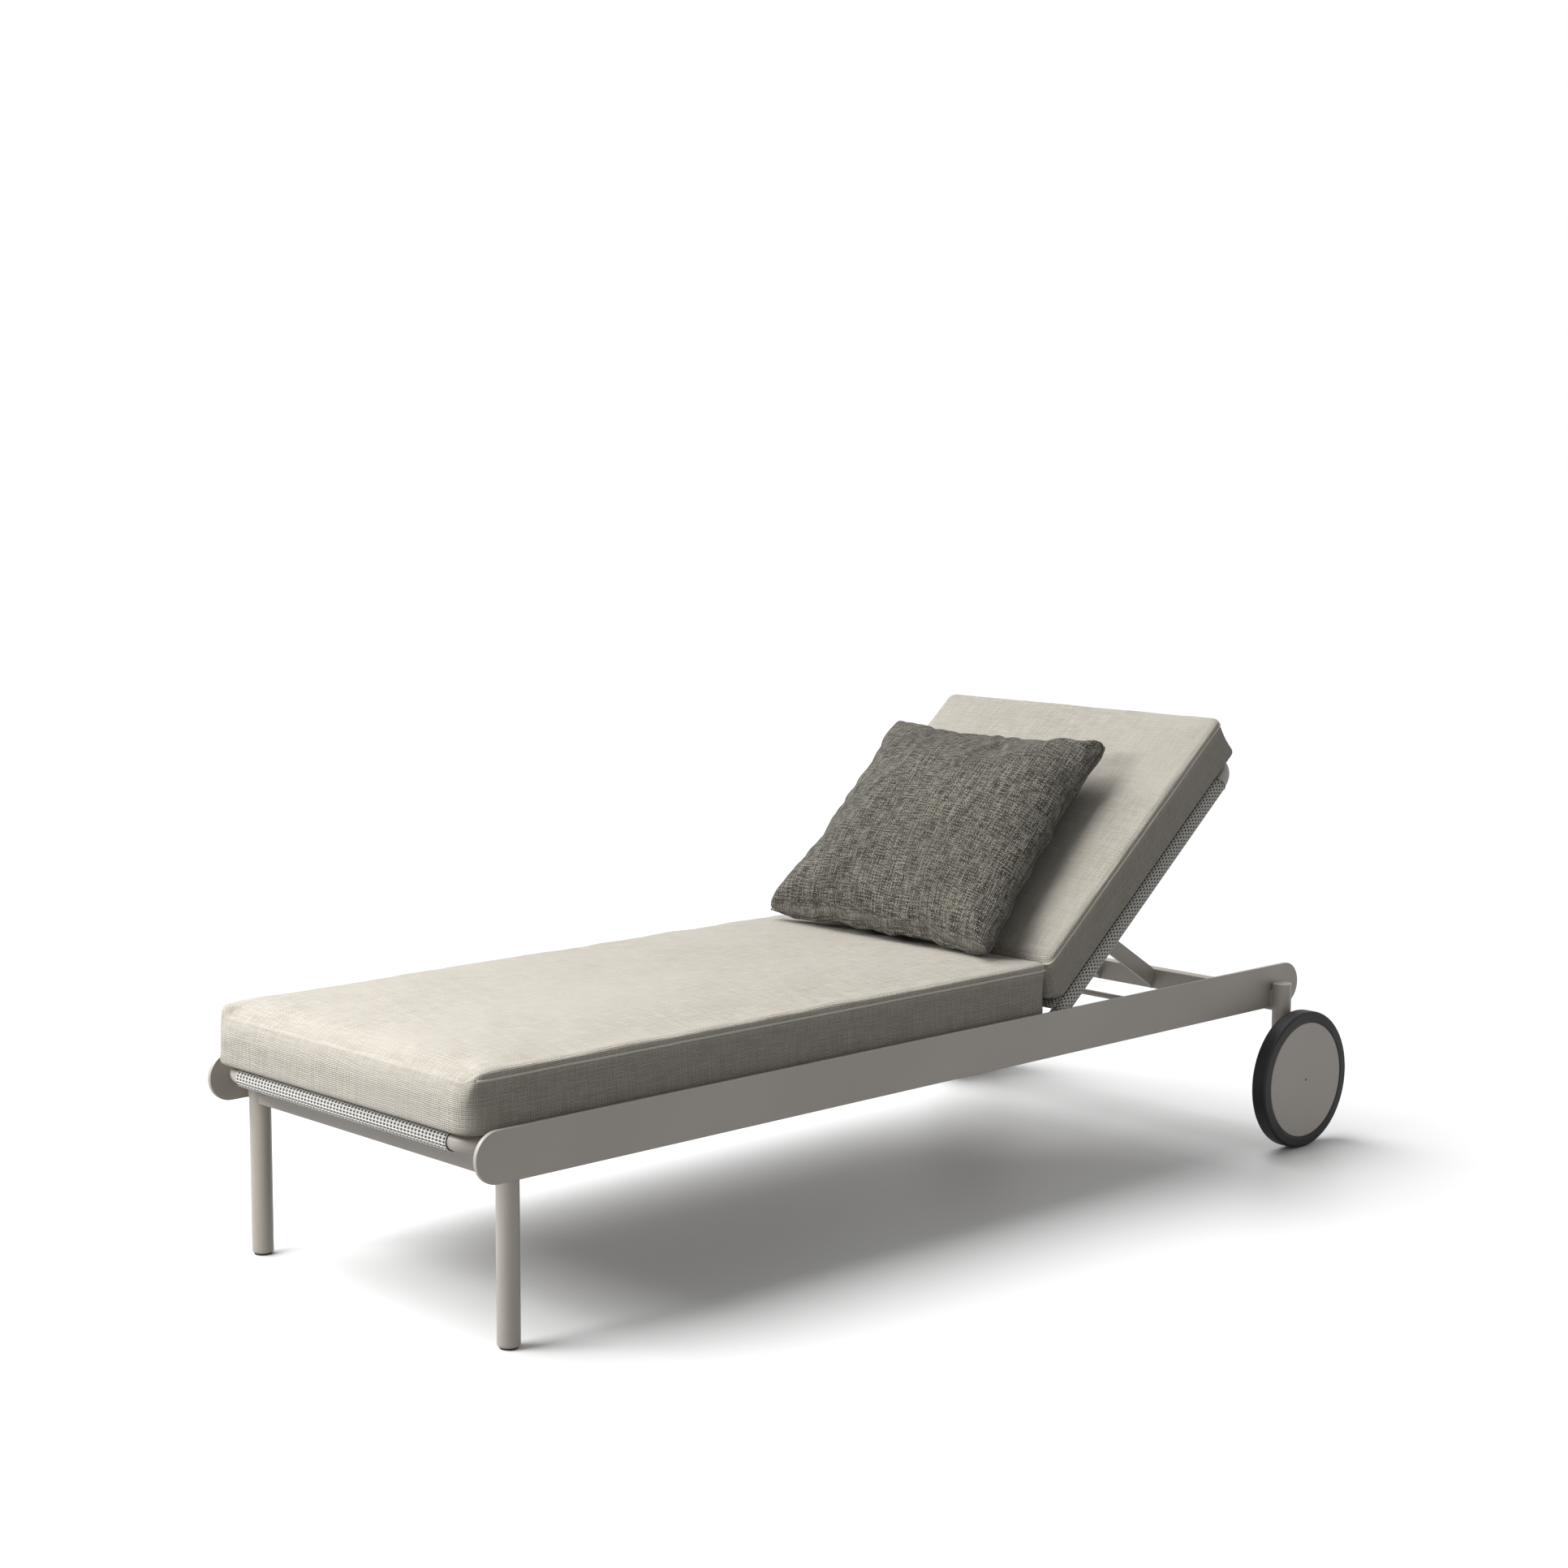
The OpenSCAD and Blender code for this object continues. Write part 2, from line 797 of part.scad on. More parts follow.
module hinge_bolts() {
    head_x = tube_x - tube_r - bush_out - thrust_gap;
    color(steel)
        both_sides()
            translate([0, hinge_y, hinge_z]) {
                rod_x(head_x - bolt_head_h, head_x, bolt_head_r);
                rod_x(head_x - eps, rail_in_x + bolt_hole_depth - screw_end_gap, hinge_d / 2 - eps);
            }
}

module hinge_washers() {
    color(nylon)
        both_sides()
            translate([rail_in_x, hinge_y, hinge_z])
                difference() {
                    rod_x(-washer_t, 0, bush_r + 1);
                    rod_x(-washer_t - 1, 1, hinge_d / 2 + cap_fit);
                }
}

module hinge_bushes() {
    color(nylon)
        both_sides()
            at_hinge()
                difference() {
                    rod_x(tube_x - tube_r - bush_out, tube_x + tube_r + bush_out, bush_r - press);
                    rod_x(tube_x - tube_d, tube_x + tube_d, hinge_d / 2 - eps + hinge_clear);
                }
}

// ---- Backrest ----

module back_tubes(r, y0) {
    for (s = [-1, 1])
        translate([s * tube_x, 0, 0])
            rod_y(y0, back_len - bend_r, r);
    translate([0, back_len, 0])
        rod_x(-tube_x + bend_r, tube_x - bend_r, r);
    both_sides()
        translate([tube_x - bend_r, back_len - bend_r, 0])
            bend(r);
}

module back_frame() {
    color(paint)
        at_hinge()
            difference() {
                back_tubes(tube_r, back_end_y + end_cap_t);
                back_tubes(tube_r - tube_wall, back_end_y - 1);
                rod_x(-rail_in_x, rail_in_x, bush_r);
            }
}

module back_end_caps() {
    color(black)
        both_sides()
            at_hinge()
                translate([tube_x, 0, 0])
                    rod_y(back_end_y, back_end_y + end_cap_t, tube_r);
}

module back_crossbar() {
    color(paint)
        at_hinge()
            difference() {
                translate([0, crossbar_r, 0])
                    rod_x(-tube_x, tube_x, crossbar_d / 2);
                for (s = [-1, 1])
                    translate([s * tube_x, 0, 0])
                        rod_y(0, 2 * crossbar_r, tube_r + eps);
            }
}

module slot_shape() {
    sides = [
        for (i = [0:slot_steps]) beside(i, slot_r),
        for (i = [slot_steps:-1:0]) beside(i, -slot_r)
    ];
    polygon(sides);
    translate(slot_path[0])
        circle(slot_r);
    translate(slot_path[slot_steps])
        circle(slot_r);
}

// Plate with a curved slot for the stay's rod; its two ends are held off the side tube
module guide_outline() {
    y0 = standoff_ys[0];
    y1 = standoff_ys[1];
    z0 = slot_low - slot_r - plate_edge;
    z1 = wrap_in_r - plate_under_sling;
    polygon([
        [y0, -plate_end_r], [y0 + plate_tail - plate_edge, z0], [y1 - plate_tail + plate_edge, z0],
        [y1, -plate_end_r], [y1, plate_end_r], [y1 - plate_tail + plate_edge, z1],
        [y0 + plate_tail - plate_edge, z1], [y0, plate_end_r]
    ]);
    for (y = [y0, y1])
        translate([y, 0])
            circle(plate_end_r);
}

module guide_plate(side) {
    on_side(side)
        color(paint)
            at_hinge()
                translate([plate_in_x, 0, 0])
                    rotate([90, 0, 90])
                        linear_extrude(plate_t)
                            difference() {
                                guide_outline();
                                slot_shape();
                            }
}

module guide_standoffs() {
    color(paint)
        both_sides()
            at_hinge()
                difference() {
                    for (y = standoff_ys)
                        translate([0, y, 0])
                            rod_x(plate_out_x, tube_x, standoff_r);
                    translate([tube_x, 0, 0])
                        rod_y(0, back_len, tube_r + eps);
                }
}

module back_sling() {
    color(weave)
        at_hinge()
            sling_panel(back_sling_start, back_len, 0, panel_cut);
}

module back_sling_sleeves() {
    color(weave)
        at_hinge() {
            both_sides()
                wrap_along_y(back_sling_start, back_len - panel_cut);
            translate([0, back_len, 0])
                wrap_along_x(tube_x - panel_cut);
        }
}

module back_cushion() {
    z0 = wrap_r + cushion_gap;
    side_view = [
        [behind_seat(back_face), back_face], [behind_seat(wedge_h), wedge_h],
        [crossbar_r, z0], [back_cushion_end, z0], [back_cushion_end, back_face]
    ];
    color(cloth)
        at_hinge()
            intersection() {
                translate([-cushion_half_w, 0, 0])
                    rotate([90, 0, 90])
                        linear_extrude(2 * cushion_half_w)
                            polygon(side_view);
                translate([0, -back_face, 0])
                    linear_extrude(2 * back_face)
                        cushion_outline(
                            cushion_half_w, back_cushion_end + back_face, cushion_corner_r, cushion_corner_r
                        );
            }
}

module scatter_pillow() {
    crown_w = (pillow_w + pillow_top_w) / 2 * pillow_crown;
    color(dark_cloth)
        at_hinge()
            translate([pillow_right, pillow_foot, pillow_rest])
                hull() {
                    for (sx = [-1, 1]) {
                        translate([sx * (pillow_w / 2 - pillow_tip_r), pillow_tip_r, 0])
                            sphere(pillow_tip_r, $fn = 20);
                        translate([sx * (pillow_top_w / 2 - pillow_tip_r) - pillow_lean, pillow_l - pillow_tip_r, 0])
                            sphere(pillow_tip_r, $fn = 20);
                    }
                    translate([-pillow_lean / 2, pillow_l / 2, 0])
                        resize([crown_w, pillow_l * pillow_crown, pillow_h])
                            sphere(100, $fn = 32);
                }
}

// ---- Stay ----

module stay_lugs() {
    color(paint)
        both_sides()
            translate([lug_in_x, stay_y, stay_z])
                rotate([90, 0, 90])
                    linear_extrude(lug_t)
                        difference() {
                            union() {
                                circle(lug_r);
                                polygon([
                                    [0, lug_r], [stay_ahead, beam_h / 2 - stay_up],
                                    [stay_ahead, -beam_h / 2 - stay_up], [0, -lug_r]
                                ]);
                            }
                            circle(stay_pin_d / 2);
                        }
}

module stay_pins() {
    head_t = 3;
    color(steel)
        both_sides()
            translate([0, stay_y, stay_z]) {
                rod_x(lug_in_x - head_t, lug_in_x, stay_pin_d / 2 + head_t);
                rod_x(lug_in_x - eps, arm_out_x, stay_pin_d / 2 - press);
            }
}

module arm_outline() {
    wide = arm_w / 2;
    tip = arm_tip_w / 2;
    polygon([
        [0, wide], [-arm_full_len, wide], [-stay_len, tip],
        [-stay_len, -tip], [-arm_full_len, -wide], [0, -wide]
    ]);
    circle(wide);
    translate([-stay_len, 0])
        circle(tip);
}

module stay_arm(side) {
    on_side(side)
        color(paint)
            at_stay()
                translate([arm_in_x, 0, 0])
                    rotate([90, 0, 90])
                        linear_extrude(arm_t)
                            difference() {
                                arm_outline();
                                circle(stay_pin_d / 2 - press + pin_clear);
                                translate([-stay_len, 0])
                                    circle(rod_r + eps);
                            }
}

module stay_brace() {
    brace_w = 20;
    brace_t = 4;
    color(paint)
        at_stay()
            translate([-arm_in_x, -brace_at, -brace_t / 2])
                cube([2 * arm_in_x, brace_w, brace_t]);
}

module stay_rod() {
    color(paint)
        at_stay()
            translate([0, -stay_len, 0])
                rod_x(-rod_end_x, rod_end_x, rod_r);
}

module rod_end_caps() {
    color(black)
        both_sides()
            at_stay()
                translate([0, -stay_len, 0])
                    difference() {
                        rod_x(plate_out_x + rod_cap_gap, rod_end_x + rod_cap_end, rod_cap_r);
                        rod_x(plate_out_x, rod_end_x + eps, rod_r + eps);
                    }
}

// ---- Wheels ----

module at_wheel(side) {
    on_side(side)
        translate([0, post_y, axle_z])
            rotate([0, 90, 0])
                children();
}

module tyre(side) {
    edge = 5;
    mid_r = (wheel_r + rim_r) / 2;
    color(black)
        at_wheel(side)
            translate([0, 0, (wheel_in_x + wheel_out_x) / 2])
                rotate_extrude()
                    translate([mid_r, 0]) {
                        rounded_rect(tyre_depth, wheel_w, edge);
                        translate([-tyre_depth / 2, -wheel_w / 2 + 1])
                            square([tyre_depth / 2, wheel_w - 2]);
                    }
}

module rim(side) {
    back_recess = 6;
    hub_r = 26;
    web_r = rim_r - 12;
    color(paint)
        at_wheel(side)
            translate([0, 0, wheel_in_x])
                rotate_extrude()
                    difference() {
                        translate([hub_bush_r, 0])
                            square([rim_r - cap_fit - hub_bush_r, wheel_w - cover_t]);
                        translate([hub_r, -1])
                            square([web_r - hub_r, back_recess + 1]);
                        translate([0, hub_wall_x - wheel_in_x])
                            square([bolt_recess_r, wheel_w]);
                    }
}

module wheel_cover(side) {
    cover_bevel = 1.4;
    color(paint)
        at_wheel(side)
            translate([0, 0, wheel_out_x - cover_t + press])
                rotate_extrude()
                    difference() {
                        translate([cover_hole_d / 2, 0])
                            square([rim_r - cap_fit - cover_hole_d / 2, cover_t - press]);
                        translate([rim_r - cap_fit, cover_t - press])
                            rotate(45)
                                square(cover_bevel, center = true);
                    }
}

module wheel_bush(side) {
    color(nylon)
        at_wheel(side)
            translate([0, 0, wheel_in_x])
                difference() {
                    cylinder(r = hub_bush_r - press, h = hub_wall_x - wheel_in_x);
                    translate([0, 0, -1])
                        cylinder(r = axle_d / 2 + axle_clear, h = wheel_w);
                }
}

module axle_bolts() {
    head_x = hub_wall_x + axle_end_play;
    color(steel)
        both_sides()
            translate([0, post_y, axle_z]) {
                rod_x(post_x - leg_r - nut_wall, head_x, axle_d / 2);
                rod_x(head_x - eps, head_x + axle_head_t, axle_head_r);
            }
}

module axle_spacers() {
    color(nylon)
        both_sides()
            translate([0, post_y, axle_z])
                difference() {
                    rod_x(post_x, wheel_in_x - spacer_gap, axle_d / 2 + 5);
                    rod_x(post_x - 1, wheel_in_x, axle_d / 2 + press);
                    translate([post_x, 0, -leg_d])
                        cylinder(r = leg_r + eps, h = 2 * leg_d);
                }
}

// Dome nuts on the inner ends of the axle bolts
module axle_nuts() {
    nut_h = 9;
    color(steel)
        both_sides()
            translate([post_x - leg_r - nut_h, post_y, axle_z])
                rotate([0, 90, 0])
                    difference() {
                        cylinder(r = axle_head_r, h = nut_h);
                        translate([0, 0, nut_h - nut_wall])
                            cylinder(r = axle_d / 2 + eps, h = nut_h);
                    }
}

rail("left");  // rail_left
rail("right");  // rail_right
front_beam();
rear_beam();
tie_rod();
front_leg("left");  // front_leg_left
front_leg("right");  // front_leg_right
leg_plates();
leg_plate_screws();
foot_caps();
foot_glides();
rear_post("left");  // rear_post_left
rear_post("right");  // rear_post_right
post_top_caps();
post_bottom_caps();
corner_blocks();
corner_screws();
seat_frame();
seat_saddles();
saddle_screws();
seat_sling();
seat_sling_sleeves();
seat_cushion();
rest_pads();
hinge_bolts();
hinge_washers();
stay_lugs();
stay_pins();
axle_bolts();
axle_spacers();
axle_nuts();
back_frame();
back_end_caps();
hinge_bushes();
back_crossbar();
guide_plate("left");  // guide_plate_left
guide_plate("right");  // guide_plate_right
guide_standoffs();
back_sling();
back_sling_sleeves();
back_cushion();
scatter_pillow();
stay_arm("left");  // stay_arm_left
stay_arm("right");  // stay_arm_right
stay_brace();
stay_rod();
rod_end_caps();
tyre("left");  // tyre_left
rim("left");  // rim_left
wheel_cover("left");  // wheel_cover_left
wheel_bush("left");  // wheel_bush_left
tyre("right");  // tyre_right
rim("right");  // rim_right
wheel_cover("right");  // wheel_cover_right
wheel_bush("right");  // wheel_bush_right
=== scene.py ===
import bpy
import json
import math
import numpy as np
from mathutils import Matrix, Vector, noise


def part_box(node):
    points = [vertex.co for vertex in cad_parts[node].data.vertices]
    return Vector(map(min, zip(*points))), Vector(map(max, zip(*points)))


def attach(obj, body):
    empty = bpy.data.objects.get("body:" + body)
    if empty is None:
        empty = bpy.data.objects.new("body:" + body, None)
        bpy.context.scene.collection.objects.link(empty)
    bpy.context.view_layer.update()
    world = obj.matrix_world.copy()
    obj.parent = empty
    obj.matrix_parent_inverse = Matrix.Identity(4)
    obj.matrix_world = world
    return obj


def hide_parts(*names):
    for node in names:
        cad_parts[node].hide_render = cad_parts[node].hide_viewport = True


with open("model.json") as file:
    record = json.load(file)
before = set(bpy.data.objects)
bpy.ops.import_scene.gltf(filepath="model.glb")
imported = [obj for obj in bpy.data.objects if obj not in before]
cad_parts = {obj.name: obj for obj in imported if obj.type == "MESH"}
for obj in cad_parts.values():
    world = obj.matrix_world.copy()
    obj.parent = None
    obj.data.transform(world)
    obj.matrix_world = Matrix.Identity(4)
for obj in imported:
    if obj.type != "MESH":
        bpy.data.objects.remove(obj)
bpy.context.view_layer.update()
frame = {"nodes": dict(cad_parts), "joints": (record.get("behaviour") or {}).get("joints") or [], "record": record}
nodes = frame["nodes"]
print("frame loaded:", len(nodes), "CAD pieces")


cameraView = {
    "place": (3.4757, -3.39975, 1.3424),
    "yaw": 46.196,
    "down": 7.113,
    "roll": 0.239,
    "lens": 63.36,
    "sensor": 36.0,
}


def intoScene(name, data):
    obj = bpy.data.objects.new(name, data)
    bpy.context.scene.collection.objects.link(obj)
    return obj


def placeCamera(view):
    yaw, down, roll = (math.radians(view[k]) for k in ("yaw", "down", "roll"))
    ahead = Vector((
        -math.sin(yaw) * math.cos(down),
        math.cos(yaw) * math.cos(down),
        -math.sin(down),
    ))
    right = ahead.cross(Vector((0, 0, 1))).normalized()
    up = right.cross(ahead)
    rolledRight = math.cos(roll) * right + math.sin(roll) * up
    rolledUp = math.cos(roll) * up - math.sin(roll) * right
    turned = Matrix((rolledRight, rolledUp, -ahead)).transposed().to_4x4()
    turned.translation = Vector(view["place"])
    data = bpy.data.cameras.new("viewCamera")
    data.lens = view["lens"]
    data.sensor_width = view["sensor"]
    data.clip_end = 200
    camera = intoScene("viewCamera", data)
    camera.matrix_world = turned
    bpy.context.scene.camera = camera


placeCamera(cameraView)
print("camera placed")


class Wire:
    # one socket of a shader, so that maths on it reads as plain arithmetic
    def __init__(self, finish, socket):
        self.finish = finish
        self.socket = socket

    def maths(self, operation, *feeds):
        return self.finish.node(
            "ShaderNodeMath", {"operation": operation}, dict(enumerate(feeds))
        )

    def __add__(self, other):
        return self.maths("ADD", self, other)

    def __radd__(self, other):
        return self.maths("ADD", other, self)

    def __sub__(self, other):
        return self.maths("SUBTRACT", self, other)

    def __rsub__(self, other):
        return self.maths("SUBTRACT", other, self)

    def __mul__(self, other):
        return self.maths("MULTIPLY", self, other)

    def __rmul__(self, other):
        return self.maths("MULTIPLY", other, self)

    def __truediv__(self, other):
        return self.maths("DIVIDE", self, other)

    def __pow__(self, other):
        return self.maths("POWER", self, other)

    def whole(self):
        return self.maths("FLOOR", self)

    def part(self):
        return self.maths("FRACT", self)

    def wave(self):
        return self.maths("SINE", self)

    def size(self):
        return self.maths("ABSOLUTE", self)

    def odd(self):
        return self.maths("FLOORED_MODULO", self, 2.0)

    def within(self, low, high, start=0.0, end=1.0):
        # smooth step from start to end as the value goes from low to high
        return self.finish.node(
            "ShaderNodeMapRange",
            {"interpolation_type": "SMOOTHSTEP"},
            {0: self, 1: low, 2: high, 3: start, 4: end},
        )


class Finish:
    # a material in the making; every node but the maths comes from its node method
    def __init__(self, name):
        self.material = bpy.data.materials.new(name)
        self.material.use_nodes = True
        self.tree = self.material.node_tree
        self.tree.nodes.clear()

    def node(self, kind, settings=None, feeds=None, out=0):
        made = self.tree.nodes.new(kind)
        for name, value in (settings or {}).items():
            if name == "stops":
                ramp = made.color_ramp.elements
                while len(ramp) < len(value):
                    ramp.new(0.5)
                for stop, (place, colour) in zip(ramp, value):
                    stop.position = place
                    stop.color = colour
            else:
                setattr(made, name, value)
        for name, value in (feeds or {}).items():
            socket = made.inputs[name]
            if isinstance(value, Wire):
                self.tree.links.new(value.socket, socket)
            else:
                socket.default_value = value
        return Wire(self, made.outputs[out]) if made.outputs else None

    def place(self):
        return self.node("ShaderNodeTexCoord", out="Object")

    def cloth(self):
        return self.node("ShaderNodeUVMap", {"uv_map": "cloth"})

    def tone(self, name):
        # a value stored on the mesh's points
        return self.node("ShaderNodeAttribute", {"attribute_name": name}, out="Fac")

    def axes(self, vector):
        return [
            self.node("ShaderNodeSeparateXYZ", None, {0: vector}, out=axis)
            for axis in ("X", "Y", "Z")
        ]

    def stretched(self, vector, scale):
        return self.node("ShaderNodeMapping", None, {"Vector": vector, "Scale": scale})

    def cloud(self, vector, scale, detail=2.0, rough=0.5):
        return self.node(
            "ShaderNodeTexNoise",
            None,
            {"Vector": vector, "Scale": scale, "Detail": detail, "Roughness": rough},
        )

    def mix(self, amount, first, second, way="MIX"):
        return self.node(
            "ShaderNodeMix",
            {"data_type": "RGBA", "blend_type": way},
            {0: amount, 6: first, 7: second},
            out=2,
        )

    def bump(self, height, distance, strength=1.0):
        return self.node(
            "ShaderNodeBump",
            None,
            {"Height": height, "Distance": distance, "Strength": strength},
        )

    def edges(self, radius):
        # 1 at the sharp edges of the shape, 0 on its faces
        rounded = self.node("ShaderNodeBevel", {"samples": 4}, {"Radius": radius})
        flat = self.node("ShaderNodeNewGeometry", out="Normal")
        facing = self.node(
            "ShaderNodeVectorMath", {"operation": "DOT_PRODUCT"}, {0: rounded, 1: flat}, out="Value"
        )
        return facing.within(0.80, 0.985, 1.0, 0.0)

    def done(self, **feeds):
        surface = self.node(
            "ShaderNodeBsdfPrincipled",
            None,
            {name.replace("_", " "): value for name, value in feeds.items()},
        )
        self.node("ShaderNodeOutputMaterial", None, {"Surface": surface})
        return self.material


def shade(red, green, blue):
    # linear colour from the usual 0 to 255 values
    return tuple(
        c / 12.92 if c <= 0.04045 else ((c + 0.055) / 1.055) ** 2.4
        for c in (red / 255, green / 255, blue / 255)
    ) + (1.0,)


def powderCoat(name, look):
    f = Finish(name)
    place = f.place()
    grain = f.cloud(place, look["grain"], 1.0)
    patch = f.cloud(place, 5.0, 3.0)
    worn = f.edges(look["edge"]) * f.cloud(place, 60.0, 3.0).within(0.38, 0.62)
    colour = f.mix(patch.within(0.3, 0.7), look["colour"], look["shade"])
    colour = f.mix(worn * look["wear"], colour, look["worn"])
    rough = look["rough"] + patch * 0.08 - worn * 0.10
    return f.done(
        Base_Color=colour,
        Roughness=rough,
        Normal=f.bump(grain, look["depth"], 0.5),
        Specular_IOR_Level=look["gloss"],
    )


def brushedSteel(name):
    f = Finish(name)
    place = f.place()
    lines = f.cloud(f.stretched(place, (60, 900, 900)), 1.0, 2.0)
    worn = f.edges(0.0006)
    colour = f.mix(lines, shade(176, 174, 170), shade(205, 203, 198))
    colour = f.mix(worn * 0.5, colour, shade(228, 227, 224))
    return f.done(
        Base_Color=colour,
        Metallic=1.0,
        Roughness=0.26 + lines * 0.16,
        Normal=f.bump(lines, 0.00008, 0.4),
    )


def blackRubber(name, look):
    f = Finish(name)
    place = f.place()
    grain = f.cloud(place, 900.0, 2.0)
    dust = f.cloud(place, 14.0, 4.0).within(0.45, 0.75)
    worn = f.edges(0.002) * f.cloud(place, 90.0, 3.0).within(0.4, 0.65)
    colour = f.mix(dust * 0.35 + worn * 0.25, look["colour"], look["dusty"])
    return f.done(
        Base_Color=colour,
        Roughness=look["rough"] + dust * 0.12,
        Normal=f.bump(grain, 0.00025, 0.5),
        Specular_IOR_Level=0.35,
    )


def mouldedPlastic(name, look):
    f = Finish(name)
    place = f.place()
    grain = f.cloud(place, 1500.0, 1.0)
    patch = f.cloud(place, 8.0, 2.0)
    worn = f.edges(0.001)
    colour = f.mix(patch, look["colour"], look["shade"])
    colour = f.mix(worn * 0.3, colour, look["worn"])
    return f.done(
        Base_Color=colour,
        Roughness=0.45 + patch * 0.1,
        Normal=f.bump(grain, 0.0001, 0.4),
        Specular_IOR_Level=0.4,
    )


def plainWeave(f, u, v, pitch):
    # height of a one-over-one weave, which thread is on top, and the count of threads across
    a, b = u / pitch, v / pitch
    over = (a.whole() + b.whole()).odd()
    across = (a.part() * math.pi).wave()
    along = (b.part() * math.pi).wave()
    warp = (across ** 0.6) * (0.5 + along * 0.5)
    weft = (along ** 0.6) * (0.5 + across * 0.5)
    return over * warp + (1 - over) * weft, over, a


def cushionCloth(name, look):
    f = Finish(name)
    place, uv = f.place(), f.cloth()
    u, v, _ = f.axes(uv)
    wander = f.cloud(uv, 70.0, 2.0) - 0.5
    height, over, _ = plainWeave(f, u + wander * 0.0012, v + wander * 0.0010, look["pitch"])
    yarnU = f.cloud(f.stretched(uv, (260, 18, 1)), 1.0, 1.0)
    yarnV = f.cloud(f.stretched(uv, (18, 260, 1)), 1.0, 1.0)
    yarn = over * yarnU + (1 - over) * yarnV
    patch = f.cloud(place, 3.5, 3.0)
    # painted shade: the low places of the weave, between the threads, are coloured dark for the shade that falls
    # in them
    colour = f.mix(height.within(0.05, 0.75), look["weaveGapShade"], look["light"])
    colour = f.mix(yarn.within(0.38, 0.62) * 0.75, colour, look["yarn"])
    colour = f.mix(patch.within(0.35, 0.7) * 0.5, colour, look["patch"])
    # painted shade: darkens the cushion's sides below the seam, but not the lit foot end
    colour = f.mix(f.tone("band") * look["sideShadeStrength"], colour, look["sideShadeColour"], "MULTIPLY")
    colour = f.mix(f.tone("edgeWear") * 0.45, colour, look["worn"])
    relief = height + f.cloud(place, 420.0, 2.0) * 0.35
    return f.done(
        Base_Color=colour,
        Roughness=0.95 - height * 0.12,
        Normal=f.bump(relief, look["depth"], 0.8),
        Sheen_Weight=0.18,
        Sheen_Roughness=0.5,
        Specular_IOR_Level=0.18,
    )


def pillowCloth(name, look):
    f = Finish(name)
    place, uv = f.place(), f.cloth()
    u, v, _ = f.axes(uv)
    wander = f.cloud(uv, 45.0, 3.0) - 0.5
    height, over, count = plainWeave(f, u + wander * 0.003, v + wander * 0.003, look["pitch"])
    # thick and thin places along each yarn, and whole yarns of another tone
    slubU = f.cloud(f.stretched(uv, (310, 22, 1)), 1.0, 2.0, 0.6)
    slubV = f.cloud(f.stretched(uv, (34, 310, 1)), 1.0, 2.0, 0.6)
    streak = f.cloud(f.stretched(uv, (170, 9, 1)), 1.0, 2.0)
    warpTone = f.node("ShaderNodeTexWhiteNoise", {"noise_dimensions": "1D"}, {"W": count.whole()})
    yarn = over * slubU + (1 - over) * slubV
    light = yarn.within(0.41, 0.61)
    colour = f.mix(light, look["dark"], look["light"])
    # painted shade: the low places of the weave, between the threads, are coloured near-black for the shade that
    # falls in them
    colour = f.mix(height.within(0.0, 0.55, 0.75, 0.0), colour, look["weaveGapShade"])
    colour = f.mix(streak.within(0.5, 0.66) * over * 0.75, colour, look["streak"])
    colour = f.mix(warpTone.within(0.55, 1.0) * over * 0.4, colour, look["streak"])
    patch = f.cloud(place, 7.0, 3.0)
    colour = f.mix(patch.within(0.35, 0.7) * 0.25, colour, look["dark"])
    colour = f.mix(f.tone("edgeWear") * 0.4, colour, look["worn"])
    relief = height * (0.6 + yarn * 0.9) + f.cloud(place, 700.0, 2.0) * 0.25
    return f.done(
        Base_Color=colour,
        Roughness=0.96 - height * 0.1,
        Normal=f.bump(relief, look["depth"], 0.9),
        Sheen_Weight=0.12,
        Sheen_Roughness=0.5,
        Specular_IOR_Level=0.15,
    )


def meshSling(name, look):
    f = Finish(name)
    place, uv = f.place(), f.cloth()
    u, v, _ = f.axes(uv)
    a, b = u / look["cellU"], v / look["cellV"]
    shift = b.whole().odd() * 0.5
    fu = ((a + shift).part() - 0.5).size() * 2.0
    fv = (b.part() - 0.5).size() * 2.0
    hole = (1 - fu.within(0.35, 0.68)) * (1 - fv.within(0.35, 0.70))
    twist = ((u / 0.0016 + v / 0.0022) * math.pi).wave() * 0.5 + 0.5
    tone = f.cloud(place, 180.0, 2.0)
    colour = f.mix(twist * 0.6 + tone * 0.4, look["grey"], look["light"])
    # painted shade: the holes of the mesh are coloured near-black for the shade seen through them
    colour = f.mix(hole, colour, look["gap"])
    worn = f.cloud(place, 25.0, 3.0).within(0.55, 0.8)
    colour = f.mix(worn * 0.25, colour, look["worn"])
    relief = (1 - hole) * 0.8 + twist * 0.2
    return f.done(
        Base_Color=colour,
        Roughness=0.55 + hole * 0.3,
        Normal=f.bump(relief, 0.0008, 0.8),
        Sheen_Weight=0.05,
        Specular_IOR_Level=0.35,
    )


def sewingThread(name, colour, pale):
    f = Finish(name)
    place = f.place()
    twist = f.cloud(f.stretched(place, (900, 900, 900)), 1.0, 1.0)
    patch = f.cloud(place, 20.0, 2.0)
    tone = f.mix(twist, colour, pale)
    tone = f.mix(patch * 0.3, tone, colour)
    return f.done(
        Base_Color=tone,
        Roughness=0.8 - twist * 0.15,
        Normal=f.bump(twist, 0.0002, 0.6),
        Sheen_Weight=0.1,
    )


